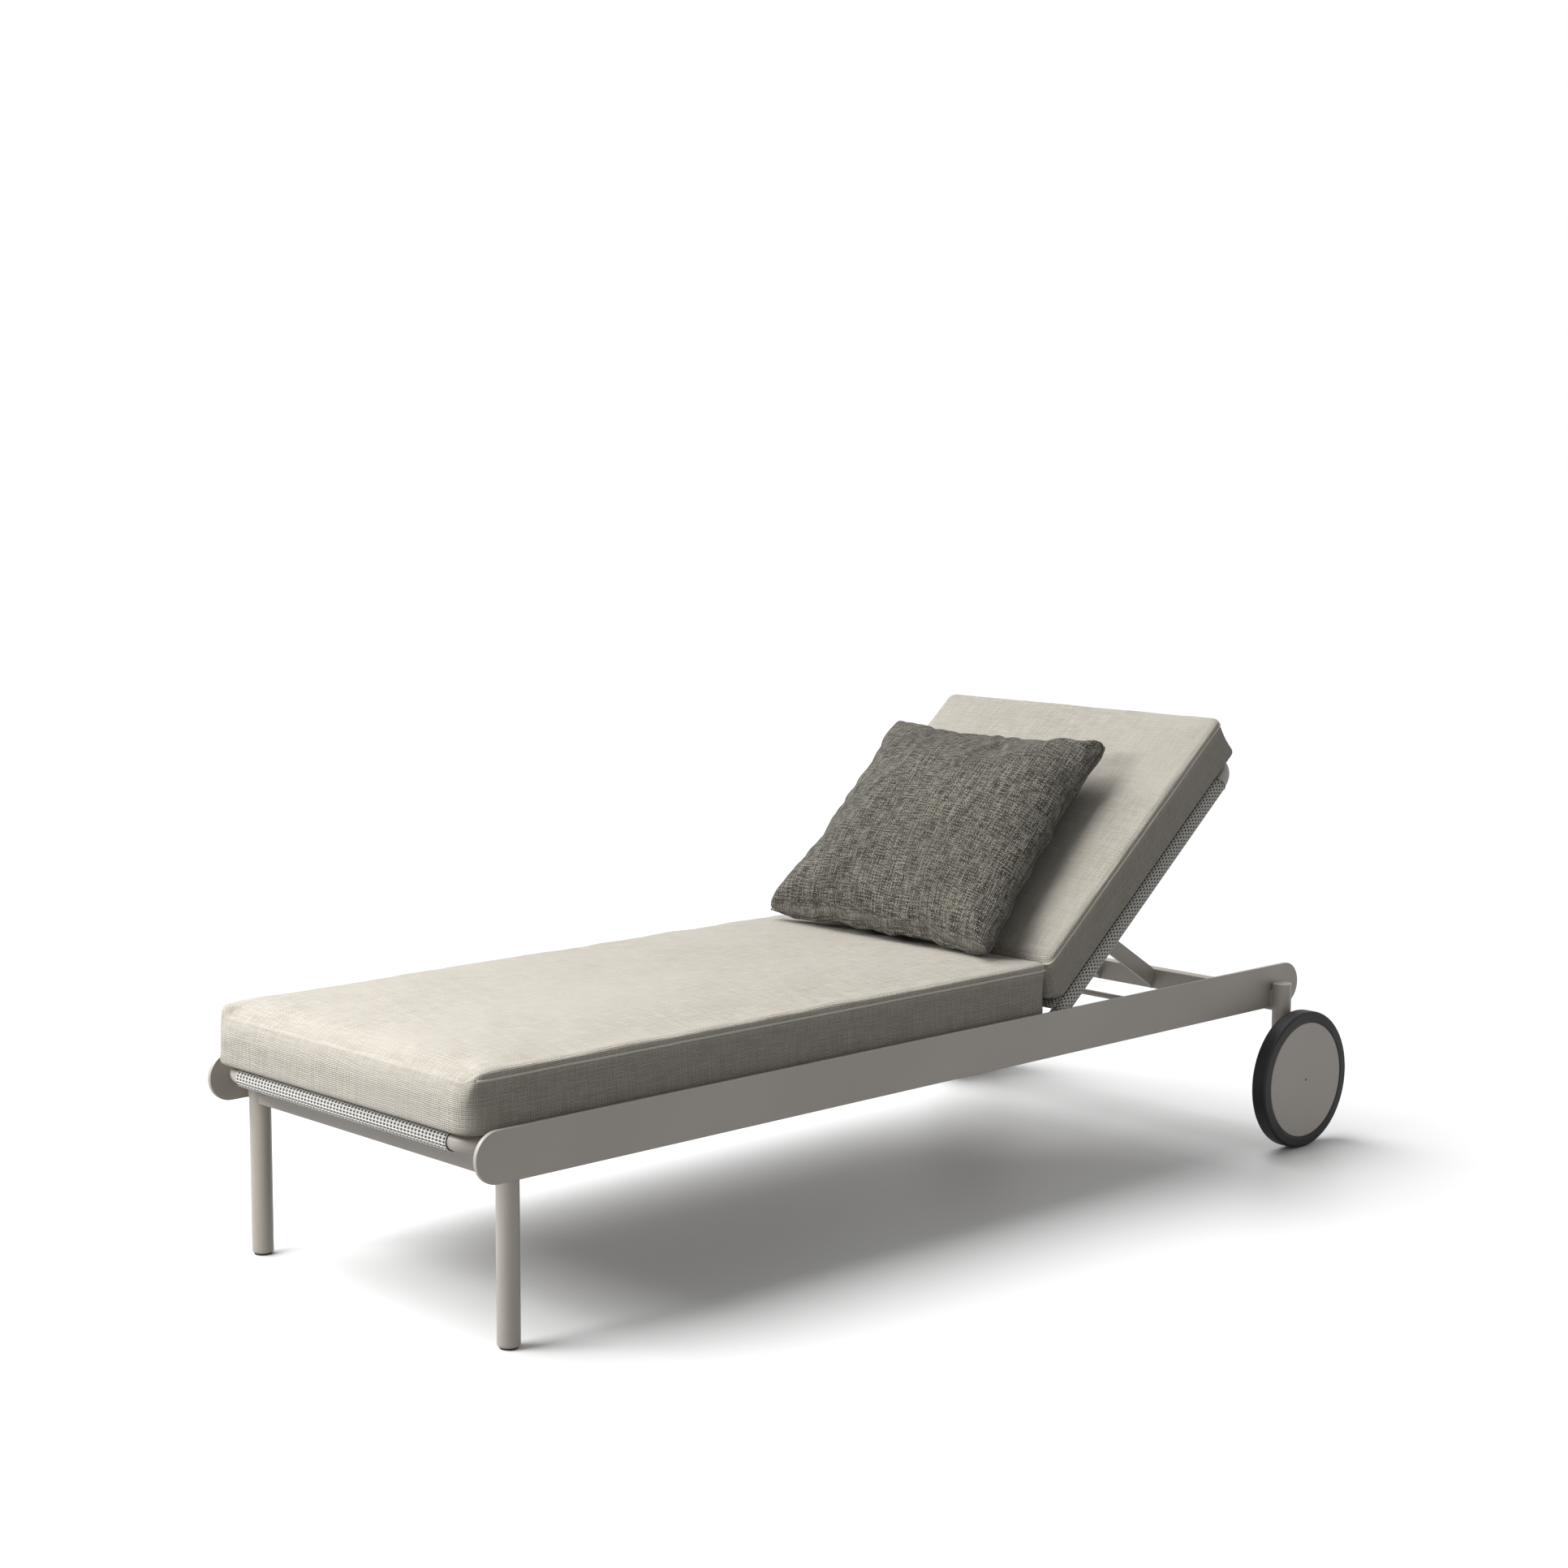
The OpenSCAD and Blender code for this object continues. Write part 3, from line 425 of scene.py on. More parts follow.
paintLook = {
    "colour": shade(182, 175, 165),
    "shade": shade(177, 170, 160),
    "worn": shade(206, 201, 193),
    "grain": 1400.0,
    "depth": 0.00022,
    "edge": 0.0016,
    "wear": 0.5,
    "rough": 0.40,
    "gloss": 0.9,
}
clothLook = {
    "pitch": 0.0031,
    "light": shade(228, 222, 211),
    # painted shade colour for the hollows between the threads
    "weaveGapShade": shade(98, 92, 82),
    "yarn": shade(178, 171, 158),
    "patch": shade(206, 200, 189),
    "worn": shade(226, 219, 207),
    # painted shade on the cushion's sides: how strong it is, and the colour it multiplies by
    "sideShadeStrength": 0.8,
    "sideShadeColour": (0.86, 0.855, 0.85, 1.0),
    "depth": 0.0018,
}
pillowLook = {
    "pitch": 0.0036,
    "light": shade(166, 161, 148),
    "dark": shade(56, 53, 47),
    # painted shade colour for the hollows between the threads
    "weaveGapShade": shade(22, 21, 18),
    "streak": shade(36, 35, 30),
    "worn": shade(140, 136, 127),
    "depth": 0.0018,
}
slingLook = {
    "cellU": 0.0090,
    "cellV": 0.0045,
    "light": shade(238, 236, 230),
    "grey": shade(190, 187, 180),
    # painted shade colour for the mesh's holes
    "gap": shade(24, 23, 21),
    "worn": shade(200, 196, 188),
}
finishes = {
    "frame_paint": powderCoat("stonePowderCoat", paintLook),
    "steel": brushedSteel("brushedSteel"),
    "black_rubber": blackRubber(
        "blackRubber", {"colour": shade(28, 28, 28), "dusty": shade(66, 64, 61), "rough": 0.6}
    ),
    "tyre": blackRubber(
        "tyreRubber", {"colour": shade(19, 19, 19), "dusty": shade(46, 45, 43), "rough": 0.52}
    ),
    "rim_plastic": mouldedPlastic(
        "rimPlastic",
        {"colour": shade(165, 158, 147), "shade": shade(156, 149, 139), "worn": shade(190, 184, 175)},
    ),
    "nylon": mouldedPlastic(
        "naturalNylon",
        {"colour": shade(222, 219, 210), "shade": shade(212, 208, 198), "worn": shade(236, 234, 228)},
    ),
    "sling_weave": meshSling("slingMesh", slingLook),
    "cushion_cloth": cushionCloth("cushionCloth", clothLook),
    "pillow_cloth": pillowCloth("pillowCloth", pillowLook),
}
# painted shade: a dark finish for the sheet under the front sleeve's strands, standing for the shade between them
finishes["slingGapShade"] = sewingThread("slingGapShade", shade(44, 43, 40), shade(70, 68, 64))
beigeThread = sewingThread("beigeThread", shade(204, 197, 184), shade(236, 231, 221))
darkThread = sewingThread("darkThread", shade(40, 39, 35), shade(84, 81, 74))
blackHem = sewingThread("blackHem", shade(26, 26, 26), shade(48, 47, 45))
print("finishes made:", len(bpy.data.materials))

slotOf = {}
for part in frame["record"]["subparts"]:
    slotOf[part["node"]] = part["material_slot"]
for name, obj in nodes.items():
    obj.data.materials.clear()
    obj.data.materials.append(finishes[slotOf[name]])


def newPiece(name, points, faces, material, uv):
    mesh = bpy.data.meshes.new(name)
    mesh.from_pydata([tuple(p) for p in points], [], faces)
    mesh.update()
    layer = mesh.uv_layers.new(name="cloth")
    layer.data.foreach_set("uv", np.asarray(uv, float).ravel())
    mesh.polygons.foreach_set("use_smooth", [True] * len(mesh.polygons))
    mesh.materials.append(material)
    return intoScene(name, mesh)


def storedVectors(obj, name):
    flat = np.empty(len(obj.data.vertices) * 3)
    obj.data.vertices.foreach_get(name, flat)
    return flat.reshape(-1, 3)


def pointsOf(obj):
    return storedVectors(obj, "co")


def normalsOf(obj):
    return storedVectors(obj, "normal")


def setPoints(obj, points):
    obj.data.vertices.foreach_set("co", np.asarray(points, float).ravel())
    obj.data.update()


def keepModifiers(obj):
    # the object's mesh becomes what its modifiers make of it
    bpy.context.view_layer.update()
    graph = bpy.context.evaluated_depsgraph_get()
    mesh = bpy.data.meshes.new_from_object(obj.evaluated_get(graph), depsgraph=graph)
    obj.modifiers.clear()
    old = obj.data
    obj.data = mesh
    bpy.data.meshes.remove(old)


def subdivide(obj):
    step = obj.modifiers.new("finer", "SUBSURF")
    step.levels = step.render_levels = 1
    step.uv_smooth = "PRESERVE_BOUNDARIES"
    keepModifiers(obj)


def smoothStep(x, low, high):
    t = np.clip((x - low) / (high - low), 0.0, 1.0)
    return t * t * (3 - 2 * t)


def spacedLines(low, high, step, edges):
    # lines from low to high: close together at the ends, as edges says, then evenly spaced
    near = [low + e for e in edges if low + e < (low + high) / 2]
    far = [high - e for e in reversed(edges) if high - e > (low + high) / 2]
    count = max(2, round((far[0] - near[-1]) / step))
    middle = list(np.linspace(near[-1], far[0], count + 1)[1:-1])
    return near + middle + far


def latticeShell(xs, ys, zs):
    # closed box of quads on three sets of lines, with a flat cloth map for each side;
    # the sides' maps are shifted a little, so that their threads don't run on from the top's
    mapShift = 0.0007
    nx, ny, nz = len(xs) - 1, len(ys) - 1, len(zs) - 1
    index, cells, faces, uv = {}, [], [], []
    halfW, yLow = xs[-1], ys[0]

    def corner(i, j, k):
        key = (i, j, k)
        if key not in index:
            index[key] = len(cells)
            cells.append(key)
        return index[key]

    def quad(keys, mapOf):
        faces.append([corner(*key) for key in keys])
        uv.extend(mapOf(*key) for key in keys)

    def flatMap(i, j, k):
        return xs[i], ys[j]

    def endMap(i, j, k):
        return xs[i], zs[k] + mapShift

    def sideMap(i, j, k):
        side = 1 if i == nx else -1
        return side * (halfW + ys[j] - yLow), zs[k] + mapShift

    for i in range(nx):
        for j in range(ny):
            quad([(i, j, nz), (i + 1, j, nz), (i + 1, j + 1, nz), (i, j + 1, nz)], flatMap)
            quad([(i, j + 1, 0), (i + 1, j + 1, 0), (i + 1, j, 0), (i, j, 0)], flatMap)
        for k in range(nz):
            quad([(i, 0, k), (i + 1, 0, k), (i + 1, 0, k + 1), (i, 0, k + 1)], endMap)
            quad([(i, ny, k + 1), (i + 1, ny, k + 1), (i + 1, ny, k), (i, ny, k)], endMap)
    for j in range(ny):
        for k in range(nz):
            quad([(nx, j, k), (nx, j + 1, k), (nx, j + 1, k + 1), (nx, j, k + 1)], sideMap)
            quad([(0, j, k + 1), (0, j + 1, k + 1), (0, j + 1, k), (0, j, k)], sideMap)
    cells = np.array(cells)
    points = np.stack(
        [np.array(xs)[cells[:, 0]], np.array(ys)[cells[:, 1]], np.array(zs)[cells[:, 2]]], 1
    )
    return points, faces, uv, cells


def ringAt(nx, ny, level):
    # the lattice's places round its outline at one level, from the near left corner
    ring = [(i, 0, level) for i in range(nx)] + [(nx, j, level) for j in range(ny)]
    ring += [(i, ny, level) for i in range(nx, 0, -1)]
    return ring + [(0, j, level) for j in range(ny, 0, -1)]


def roundCorners(p, halfW, yLow, yHigh, nearR, farR):
    # the square upright corners become round, seen from above
    q = p.copy()
    for side in (-1, 1):
        for way, end, r in ((-1, yLow, nearR), (1, yHigh, farR)):
            dx = side * p[:, 0] - (halfW - r)
            dy = way * (p[:, 1] - end) + r
            m = (dx > 0) & (dy > 0)
            reach = np.maximum(dx[m], dy[m]) / np.maximum(np.hypot(dx[m], dy[m]), 1e-12)
            q[m, 0] = side * (halfW - r + dx[m] * reach)
            q[m, 1] = end + way * (dy[m] * reach - r)
    return q


def inwardFrom(p, halfW, yLow, yHigh, nearR, farR):
    # distance from the rounded outline, and the outward direction there
    yMid, halfL = (yLow + yHigh) / 2, (yHigh - yLow) / 2
    r = np.where(p[:, 1] < yMid, nearR, farR)
    qx = np.abs(p[:, 0]) - (halfW - r)
    qy = np.abs(p[:, 1] - yMid) - (halfL - r)
    both = (qx > 0) & (qy > 0)
    reach = np.hypot(np.maximum(qx, 0), np.maximum(qy, 0)) + np.minimum(np.maximum(qx, qy), 0)
    nx = np.where(both, qx, (qx > qy) * 1.0)
    ny = np.where(both, qy, (qx <= qy) * 1.0)
    size = np.maximum(np.hypot(nx, ny), 1e-9)
    out = np.stack([nx / size * np.sign(p[:, 0]), ny / size * np.sign(p[:, 1] - yMid)], 1)
    return r - reach, out


def roundRim(q, inside, out, level, way, radius):
    # the edge between the sides and a flat face becomes round, with its own radius at each point
    depth = way * (level - q[:, 2])
    u = np.clip((radius - inside) / radius, 0, 1)
    v = np.clip((radius - depth) / radius, 0, 1)
    k = np.where((u > 0) & (v > 0), np.maximum(u, v) / np.maximum(np.hypot(u, v), 1e-12), 1.0)
    p = q.copy()
    p[:, :2] += out * ((u * k - u) * radius)[:, None]
    p[:, 2] += way * (v * k - v) * radius
    return p


def inflate(obj, look):
    # air pressure swells the cover; how far each point goes is kept below its own cap
    start = pointsOf(obj)
    cloth = obj.modifiers.new("air", "CLOTH")
    s = cloth.settings
    s.quality = look.get("quality", 5)
    s.mass = 0.3
    s.tension_stiffness = s.compression_stiffness = look["stiff"]
    s.shear_stiffness = look["stiff"] / 3
    s.bending_stiffness = look["bend"]
    s.shrink_min = look.get("shrink", 0.0)
    s.use_pressure = True
    s.uniform_pressure_force = look["pressure"]
    s.effector_weights.gravity = 0
    cloth.collision_settings.use_self_collision = False
    cloth.collision_settings.use_collision = False
    scene = bpy.context.scene
    for number in range(1, look["frames"] + 1):
        scene.frame_set(number)
    keepModifiers(obj)
    scene.frame_set(1)
    end = pointsOf(obj)
    move = end - start
    if look.get("cap") is not None:
        far = np.linalg.norm(move, axis=1)
        cap = look["cap"]
        # a soft limit, so that no flat plateau shows where it starts to hold
        held = cap * np.tanh(far / np.maximum(cap, 1e-6))
        move *= (held / np.maximum(far, 1e-9))[:, None]
    setPoints(obj, start + move)


def pucker(obj, slow, fold):
    # slow and fold are the heights of the wide waves and of the small folds at each point
    slowScale, foldScale = 9.0, 38.0
    points, out = pointsOf(obj), normalsOf(obj)
    moved = np.empty_like(points)
    for n, p in enumerate(points):
        height = 0.0
        for scale, gain in ((slowScale, slow[n]), (foldScale, fold[n])):
            if gain > 1e-6:
                height += gain * noise.noise(Vector(p) * scale)
        moved[n] = p + out[n] * height
    setPoints(obj, moved)


def addTone(obj, name, values):
    layer = obj.data.attributes.new(name, "FLOAT", "POINT")
    layer.data.foreach_set("value", np.asarray(values, float))


def openTree(name, sockets):
    tree = bpy.data.node_groups.new(name, "GeometryNodeTree")
    face = tree.interface
    face.new_socket("Geometry", in_out="INPUT", socket_type="NodeSocketGeometry")
    for label, kind in sockets:
        face.new_socket(label, in_out="INPUT", socket_type=kind)
    face.new_socket("Geometry", in_out="OUTPUT", socket_type="NodeSocketGeometry")
    return tree


def treeNode(tree, kind, settings=None, feeds=None):
    made = tree.nodes.new(kind)
    for name, value in (settings or {}).items():
        setattr(made, name, value)
    for name, value in (feeds or {}).items():
        if isinstance(value, bpy.types.NodeSocket):
            tree.links.new(value, made.inputs[name])
        else:
            made.inputs[name].default_value = value
    return made


def closeTree(tree, geometry, start):
    real = treeNode(tree, "GeometryNodeRealizeInstances", None, {0: geometry})
    smooth = treeNode(tree, "GeometryNodeSetShadeSmooth", None, {"Geometry": real.outputs[0]})
    finished = treeNode(
        tree, "GeometryNodeSetMaterial", None,
        {"Geometry": smooth.outputs[0], "Material": start.outputs["Finish"]},
    )
    treeNode(tree, "NodeGroupOutput", None, {0: finished.outputs[0]})
    return tree


def strandTree():
    # round strands along every line of the input
    tree = openTree("strands", [
        ("Radius", "NodeSocketFloat"), ("Sides", "NodeSocketInt"), ("Finish", "NodeSocketMaterial"),
    ])
    start = treeNode(tree, "NodeGroupInput")
    line = treeNode(tree, "GeometryNodeMeshToCurve", None, {"Mesh": start.outputs["Geometry"]})
    ring = treeNode(
        tree, "GeometryNodeCurvePrimitiveCircle", None,
        {"Resolution": start.outputs["Sides"], "Radius": start.outputs["Radius"]},
    )
    tube = treeNode(
        tree, "GeometryNodeCurveToMesh", None,
        {"Curve": line.outputs[0], "Profile Curve": ring.outputs[0], "Fill Caps": True},
    )
    return closeTree(tree, tube.outputs[0], start)


def stitchTree():
    # one stitch after another along every line of the input
    tree = openTree("stitches", [
        ("Pitch", "NodeSocketFloat"), ("Length", "NodeSocketFloat"),
        ("Radius", "NodeSocketFloat"), ("Finish", "NodeSocketMaterial"),
    ])
    start = treeNode(tree, "NodeGroupInput")
    line = treeNode(tree, "GeometryNodeMeshToCurve", None, {"Mesh": start.outputs["Geometry"]})
    even = treeNode(tree, "GeometryNodeResampleCurve", None, {"Curve": line.outputs[0]})
    even.mode = "LENGTH"
    tree.links.new(start.outputs["Pitch"], even.inputs["Length"])
    along = treeNode(tree, "GeometryNodeInputTangent")
    turn = treeNode(
        tree, "FunctionNodeAlignRotationToVector", {"axis": "X"}, {"Vector": along.outputs[0]}
    )
    bead = treeNode(
        tree, "GeometryNodeMeshUVSphere", None, {"Segments": 6, "Rings": 4, "Radius": 0.5}
    )
    size = treeNode(
        tree, "ShaderNodeCombineXYZ", None,
        {"X": start.outputs["Length"], "Y": start.outputs["Radius"], "Z": start.outputs["Radius"]},
    )
    sized = treeNode(
        tree, "GeometryNodeTransform", None, {"Geometry": bead.outputs["Mesh"], "Scale": size.outputs[0]}
    )
    points = treeNode(tree, "GeometryNodeInstanceOnPoints", None, {
        "Points": even.outputs[0], "Instance": sized.outputs[0], "Rotation": turn.outputs[0],
    })
    return closeTree(tree, points.outputs[0], start)


strands = strandTree()
stitches = stitchTree()


def throughTree(name, lines, tree, values, material, body):
    # a piece made by a tree from open or closed lines, each (points, closed)
    points, ends = [], []
    for line, closed in lines:
        first = len(points)
        points.extend(tuple(p) for p in line)
        ends.extend((first + n, first + n + 1) for n in range(len(line) - 1))
        if closed:
            ends.append((len(points) - 1, first))
    mesh = bpy.data.meshes.new(name)
    mesh.from_pydata(points, ends, [])
    obj = intoScene(name, mesh)
    step = obj.modifiers.new("made", "NODES")
    step.node_group = tree
    named = dict(values, Finish=material)
    for item in tree.interface.items_tree:
        if item.item_type == "SOCKET" and item.in_out == "INPUT" and item.name in named:
            step[item.identifier] = named[item.name]
    keepModifiers(obj)
    if not obj.data.materials:
        obj.data.materials.append(material)
    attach(obj, body)
    return obj


joints = {joint["name"]: joint for joint in frame["joints"]}
recline = joints["backrest_recline"]
hinge = np.array(recline["pos_m"], float)
backAngle = -math.radians(min(recline["range_deg"]))
leanCos, leanSin = math.cos(backAngle), math.sin(backAngle)


def onBack(points):
    # from the backrest's own axes (across, up it, in front of it) to the frame's
    p = np.asarray(points, float).reshape(-1, 3)
    return np.stack([
        p[:, 0],
        hinge[1] + p[:, 1] * leanCos - p[:, 2] * leanSin,
        hinge[2] + p[:, 1] * leanSin + p[:, 2] * leanCos,
    ], 1)


def fromBack(points):
    p = np.asarray(points, float).reshape(-1, 3)
    y, z = p[:, 1] - hinge[1], p[:, 2] - hinge[2]
    return np.stack([p[:, 0], y * leanCos + z * leanSin, -y * leanSin + z * leanCos], 1)


seatPad = {
    "nearR": 0.038,  # upright corners at the foot end
    "farR": 0.016,
    "step": 0.0115,
    "seamDrop": 0.014,  # seam below the top face
    "topEdge": 0.007,
    "frontEdge": 0.058,  # soft rounding over the foot end
    "bottomEdge": 0.012,
    "shrink": 0.003,
    "crown": 0.010,
    "bulge": 0.004,
    "welt": 0.0021,
}
backPad = {
    "nearR": 0.016,
    "farR": 0.018,
    "step": 0.0115,
    "seamDrop": 0.0135,
    "topEdge": 0.009,
    "frontEdge": 0.009,
    "bottomEdge": 0.010,
    "shrink": 0.003,
    "crown": 0.009,
    "bulge": 0.0035,
    "welt": 0.0021,
}
padCover = {
    "under": 0.0006,  # gap below the cover
    "over": 0.001,  # room for the crown under the CAD cushion's top
    "crownReach": 0.20,  # from the rim to the full crown
    "crownPower": 0.7,
    "rimShare": 0.6,  # share of the side's bulge that the top starts with
    "underSwell": 0.0008,
    "leastSwell": 0.0004,
    "seamReach": 0.016,  # how far the folds run from the seam
    "seamLine": 0.0015,
    "rimReach": 0.035,
    "fold": 0.0011,
    "frontFold": 0.0008,
    "slowTop": 0.0022,
    "slowSide": 0.0010,
    "groove": 0.0016,
    "grooveWidth": 0.0022,
    "frontGroove": 0.8,  # how much of the groove the soft front edge loses
    "wearFrom": 0.006,
    "wearWidth": 0.004,
    "wear": 0.6,
}
padAir = {"stiff": 12.0, "bend": 2.0, "pressure": 4.0, "frames": 20, "quality": 4}
sewing = {
    "weltOut": 0.0006,
    "out": 0.0010,
    "up": 0.0042,
    "pitch": 0.006,
    "length": 0.0042,
    "radius": 0.0009,
}
edgeLines = [0.0, 0.003, 0.006, 0.010, 0.015, 0.021, 0.029, 0.038]


def padLines(look, halfW, y0, y1, z0, z1):
    xs = spacedLines(-halfW, halfW, look["step"], edgeLines)
    ys = spacedLines(y0, y1, look["step"], edgeLines)
    seamZ = z1 - look["seamDrop"]
    aboveSeam = seamZ + 0.002
    below = spacedLines(z0, seamZ - 0.002, look["step"] * 0.8, [0.0, 0.004, 0.009])
    above = [aboveSeam + share * (z1 - seamZ - 0.002) for share in (0.35, 0.7, 1.0)]
    return xs, ys, below + [seamZ, aboveSeam] + above, len(below)


def buildPad(name, look, halfW, y0, y1, z0, z1, reshape):
    # a box cushion: rounded, swollen, puckered at its seam; returns it with its seam line
    feel = padCover
    xs, ys, zs, seamRow = padLines(look, halfW, y0, y1, z0, z1)
    points, faces, uv, cells = latticeShell(xs, ys, zs)
    nx, ny, nz = len(xs) - 1, len(ys) - 1, len(zs) - 1
    q = roundCorners(points, halfW, y0, y1, look["nearR"], look["farR"])
    inside, out = inwardFrom(q, halfW, y0, y1, look["nearR"], look["farR"])
    # 1 on what faces the foot end, 0 elsewhere
    toFront = smoothStep(-out[:, 1], 0.25, 1.0) * smoothStep(y0 + 0.25 - q[:, 1], 0.0, 0.1)
    topR = look["topEdge"] + toFront * (look["frontEdge"] - look["topEdge"])
    shape = roundRim(q, inside, out, z1, 1, topR)
    shape = roundRim(shape, inside, out, z0, -1, np.full(len(q), look["bottomEdge"]))
    onSide = (cells[:, 0] == 0) | (cells[:, 0] == nx) | (cells[:, 1] == 0) | (cells[:, 1] == ny)
    top = cells[:, 2] == nz
    bottom = cells[:, 2] == 0
    obj = newPiece(name, reshape(shape), faces, finishes["cushion_cloth"], uv)
    fromSeam = points[:, 2] - zs[seamRow]
    away = np.abs(fromSeam)
    # how far the cover may swell: most in the middle of the top, none at the seam and below
    middle = np.minimum(1.0, np.maximum(inside, 0) / feel["crownReach"])
    upSide = np.clip((points[:, 2] - z0) / (zs[seamRow] - z0), 0, 1)
    topCap = look["bulge"] * feel["rimShare"] + look["crown"] * middle ** feel["crownPower"]
    sideCap = look["bulge"] * np.sin(upSide * math.pi) ** feel["crownPower"]
    cap = np.where(top, topCap, np.where(onSide, sideCap, 0.0))
    cap = np.where(bottom & ~onSide, feel["underSwell"], cap)
    inflate(obj, dict(padAir, cap=np.maximum(cap, feel["leastSwell"])))
    # small folds that run into the seam, and slow unevenness on the top
    nearSeam = np.exp(-away / feel["seamReach"]) * (away > feel["seamLine"])
    rim = np.where(top, np.exp(-np.maximum(inside, 0) / feel["rimReach"]), nearSeam)
    fold = feel["fold"] * rim + toFront * np.where(top, feel["frontFold"], 0.0)
    slow = np.where(top, feel["slowTop"], np.where(onSide, feel["slowSide"], 0.0))
    pucker(obj, slow, np.where(bottom, 0.0, fold))
    # the seam is drawn in
    groove = feel["groove"] * np.exp(-(fromSeam / feel["grooveWidth"]) ** 2)
    groove = np.where(onSide, (1 - feel["frontGroove"] * toFront) * groove, 0.0)
    setPoints(obj, pointsOf(obj) - normalsOf(obj) * groove[:, None])
    # painted shade: the sides below the seam, and less so the underside, are marked to be darkened as if turned
    # from the light; the lit foot end is left out
    band = np.where(onSide, smoothStep(-fromSeam, -0.001, 0.003), 0.0)
    addTone(obj, "band", band * (1 - toFront) * np.where(bottom, 0.6, 1.0))
    wear = np.exp(-((away - feel["wearFrom"]) / feel["wearWidth"]) ** 2) * onSide * feel["wear"]
    addTone(obj, "edgeWear", wear)
    index = {tuple(c): n for n, c in enumerate(cells)}
    ring = [index[c] for c in ringAt(nx, ny, seamRow)]
    seam, seamOut = pointsOf(obj)[ring], normalsOf(obj)[ring]
    subdivide(obj)
    return obj, seam, seamOut


def finishPad(name, obj, seam, seamOut, look, body, node, turnToFrame, openFront=False):
    if turnToFrame:
        setPoints(obj, onBack(pointsOf(obj)))
        seam = onBack(seam)
        seamOut = onBack(seamOut) - onBack([[0, 0, 0]])
    obj.data.update()
    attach(obj, body)
    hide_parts(node)
    seamOut = seamOut / np.maximum(np.linalg.norm(seamOut, axis=1), 1e-9)[:, None]
    line = seam + seamOut * sewing["weltOut"]
    lines = [(line, True)]
    if openFront:
        # no welt over the soft front edge, only its stitches
        behind = np.where(seam[:, 1] > seam[:, 1].min() + 0.3 * look["nearR"])[0]
        lines = [(line[behind[0]: behind[-1] + 1], False)]
    throughTree(
        name + "Welt", lines, strands,
        {"Radius": look["welt"], "Sides": 8}, beigeThread, body,
    )
    sewn = seam + seamOut * sewing["out"] + np.array([0, 0, sewing["up"]])
    throughTree(
        name + "Stitches", [(sewn, True)], stitches,
        {"Pitch": sewing["pitch"], "Length": sewing["length"], "Radius": sewing["radius"]},
        beigeThread, body,
    )


low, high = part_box("seat_cushion")
seatTop = high.z
seat, seatSeam, seatSeamOut = buildPad(
    "seatCushion", seatPad, high.x - seatPad["shrink"],
    low.y + seatPad["shrink"], high.y - seatPad["shrink"],
    low.z + padCover["under"], high.z - padCover["over"], lambda p: p,
)
finishPad(
    "seatCushion", seat, seatSeam, seatSeamOut, seatPad, "frame", "seat_cushion", False,
    openFront=True,
)
print("seat cushion made:", len(seat.data.polygons), "faces")

nodePoints = fromBack(pointsOf(nodes["back_cushion"]))
backLow, backHigh = nodePoints.min(0), nodePoints.max(0)
backFaceZ, backUnderZ, backEndY = backHigh[2], backLow[2], backHigh[1]
lowerEdge = nodePoints[np.abs(nodePoints[:, 2] - backFaceZ) < 1e-5][:, 1].min()
knee = nodePoints[nodePoints[:, 1].argmin()]
underEdge = nodePoints[np.abs(nodePoints[:, 2] - backUnderZ) < 1e-5][:, 1].min()


def slantedFoot(p):
    # the lower end leans as the CAD cushion's does, to stay behind the seat cushion
    gap = backPad["shrink"]
    startY = np.interp(
        p[:, 2], [backUnderZ, knee[2], backFaceZ], [underEdge, knee[1], lowerEdge]
    ) + gap
    share = np.clip((backEndY - gap - p[:, 1]) / (backEndY - gap), 0, 1)
    q = p.copy()
    q[:, 1] = backEndY - gap - share * (backEndY - gap - startY)
    return q


back, backSeam, backSeamOut = buildPad(
    "backCushion", backPad, backHigh[0] - backPad["shrink"], 0.0, backEndY - backPad["shrink"],
    backUnderZ + padCover["under"], backFaceZ - padCover["over"], slantedFoot,
)
finishPad("backCushion", back, backSeam, backSeamOut, backPad, "backrest", "back_cushion", True)
print("back cushion made:", len(back.data.polygons), "faces")


pillowLooks = {
    "cutW": 0.610,
    "cutL": 0.560,
    "cells": (84, 76),
    "edge": 0.0015,
    "thick": 0.158,
    "lift": 0.182,  # middle of the pillow in front of the backrest's plane
    "corners": {  # across and up the backrest
        "lowLeft": (-0.276, 0.010),
        "lowRight": (0.286, 0.000),
        "highLeft": (-0.308, 0.512),
        "highRight": (0.216, 0.512),
    },
    "sink": 0.024,
    "sinkDepth": 0.022,
    "sinkReach": 0.060,
    "fold": 0.0065,
    "foldReach": 0.040,
    "dent": 0.007,
    "drawn": 1.1,
    "boxy": 0.52,
    "clearBack": 0.007,
    "clearSeat": 0.004,
    "startFull": 0.012,
    "startUneven": 0.004,
    "seamR": 0.0013,
}
pillowAir = {
    "cap": None, "stiff": 18.0, "bend": 0.6, "pressure": 5.0, "frames": 26, "quality": 7,
}


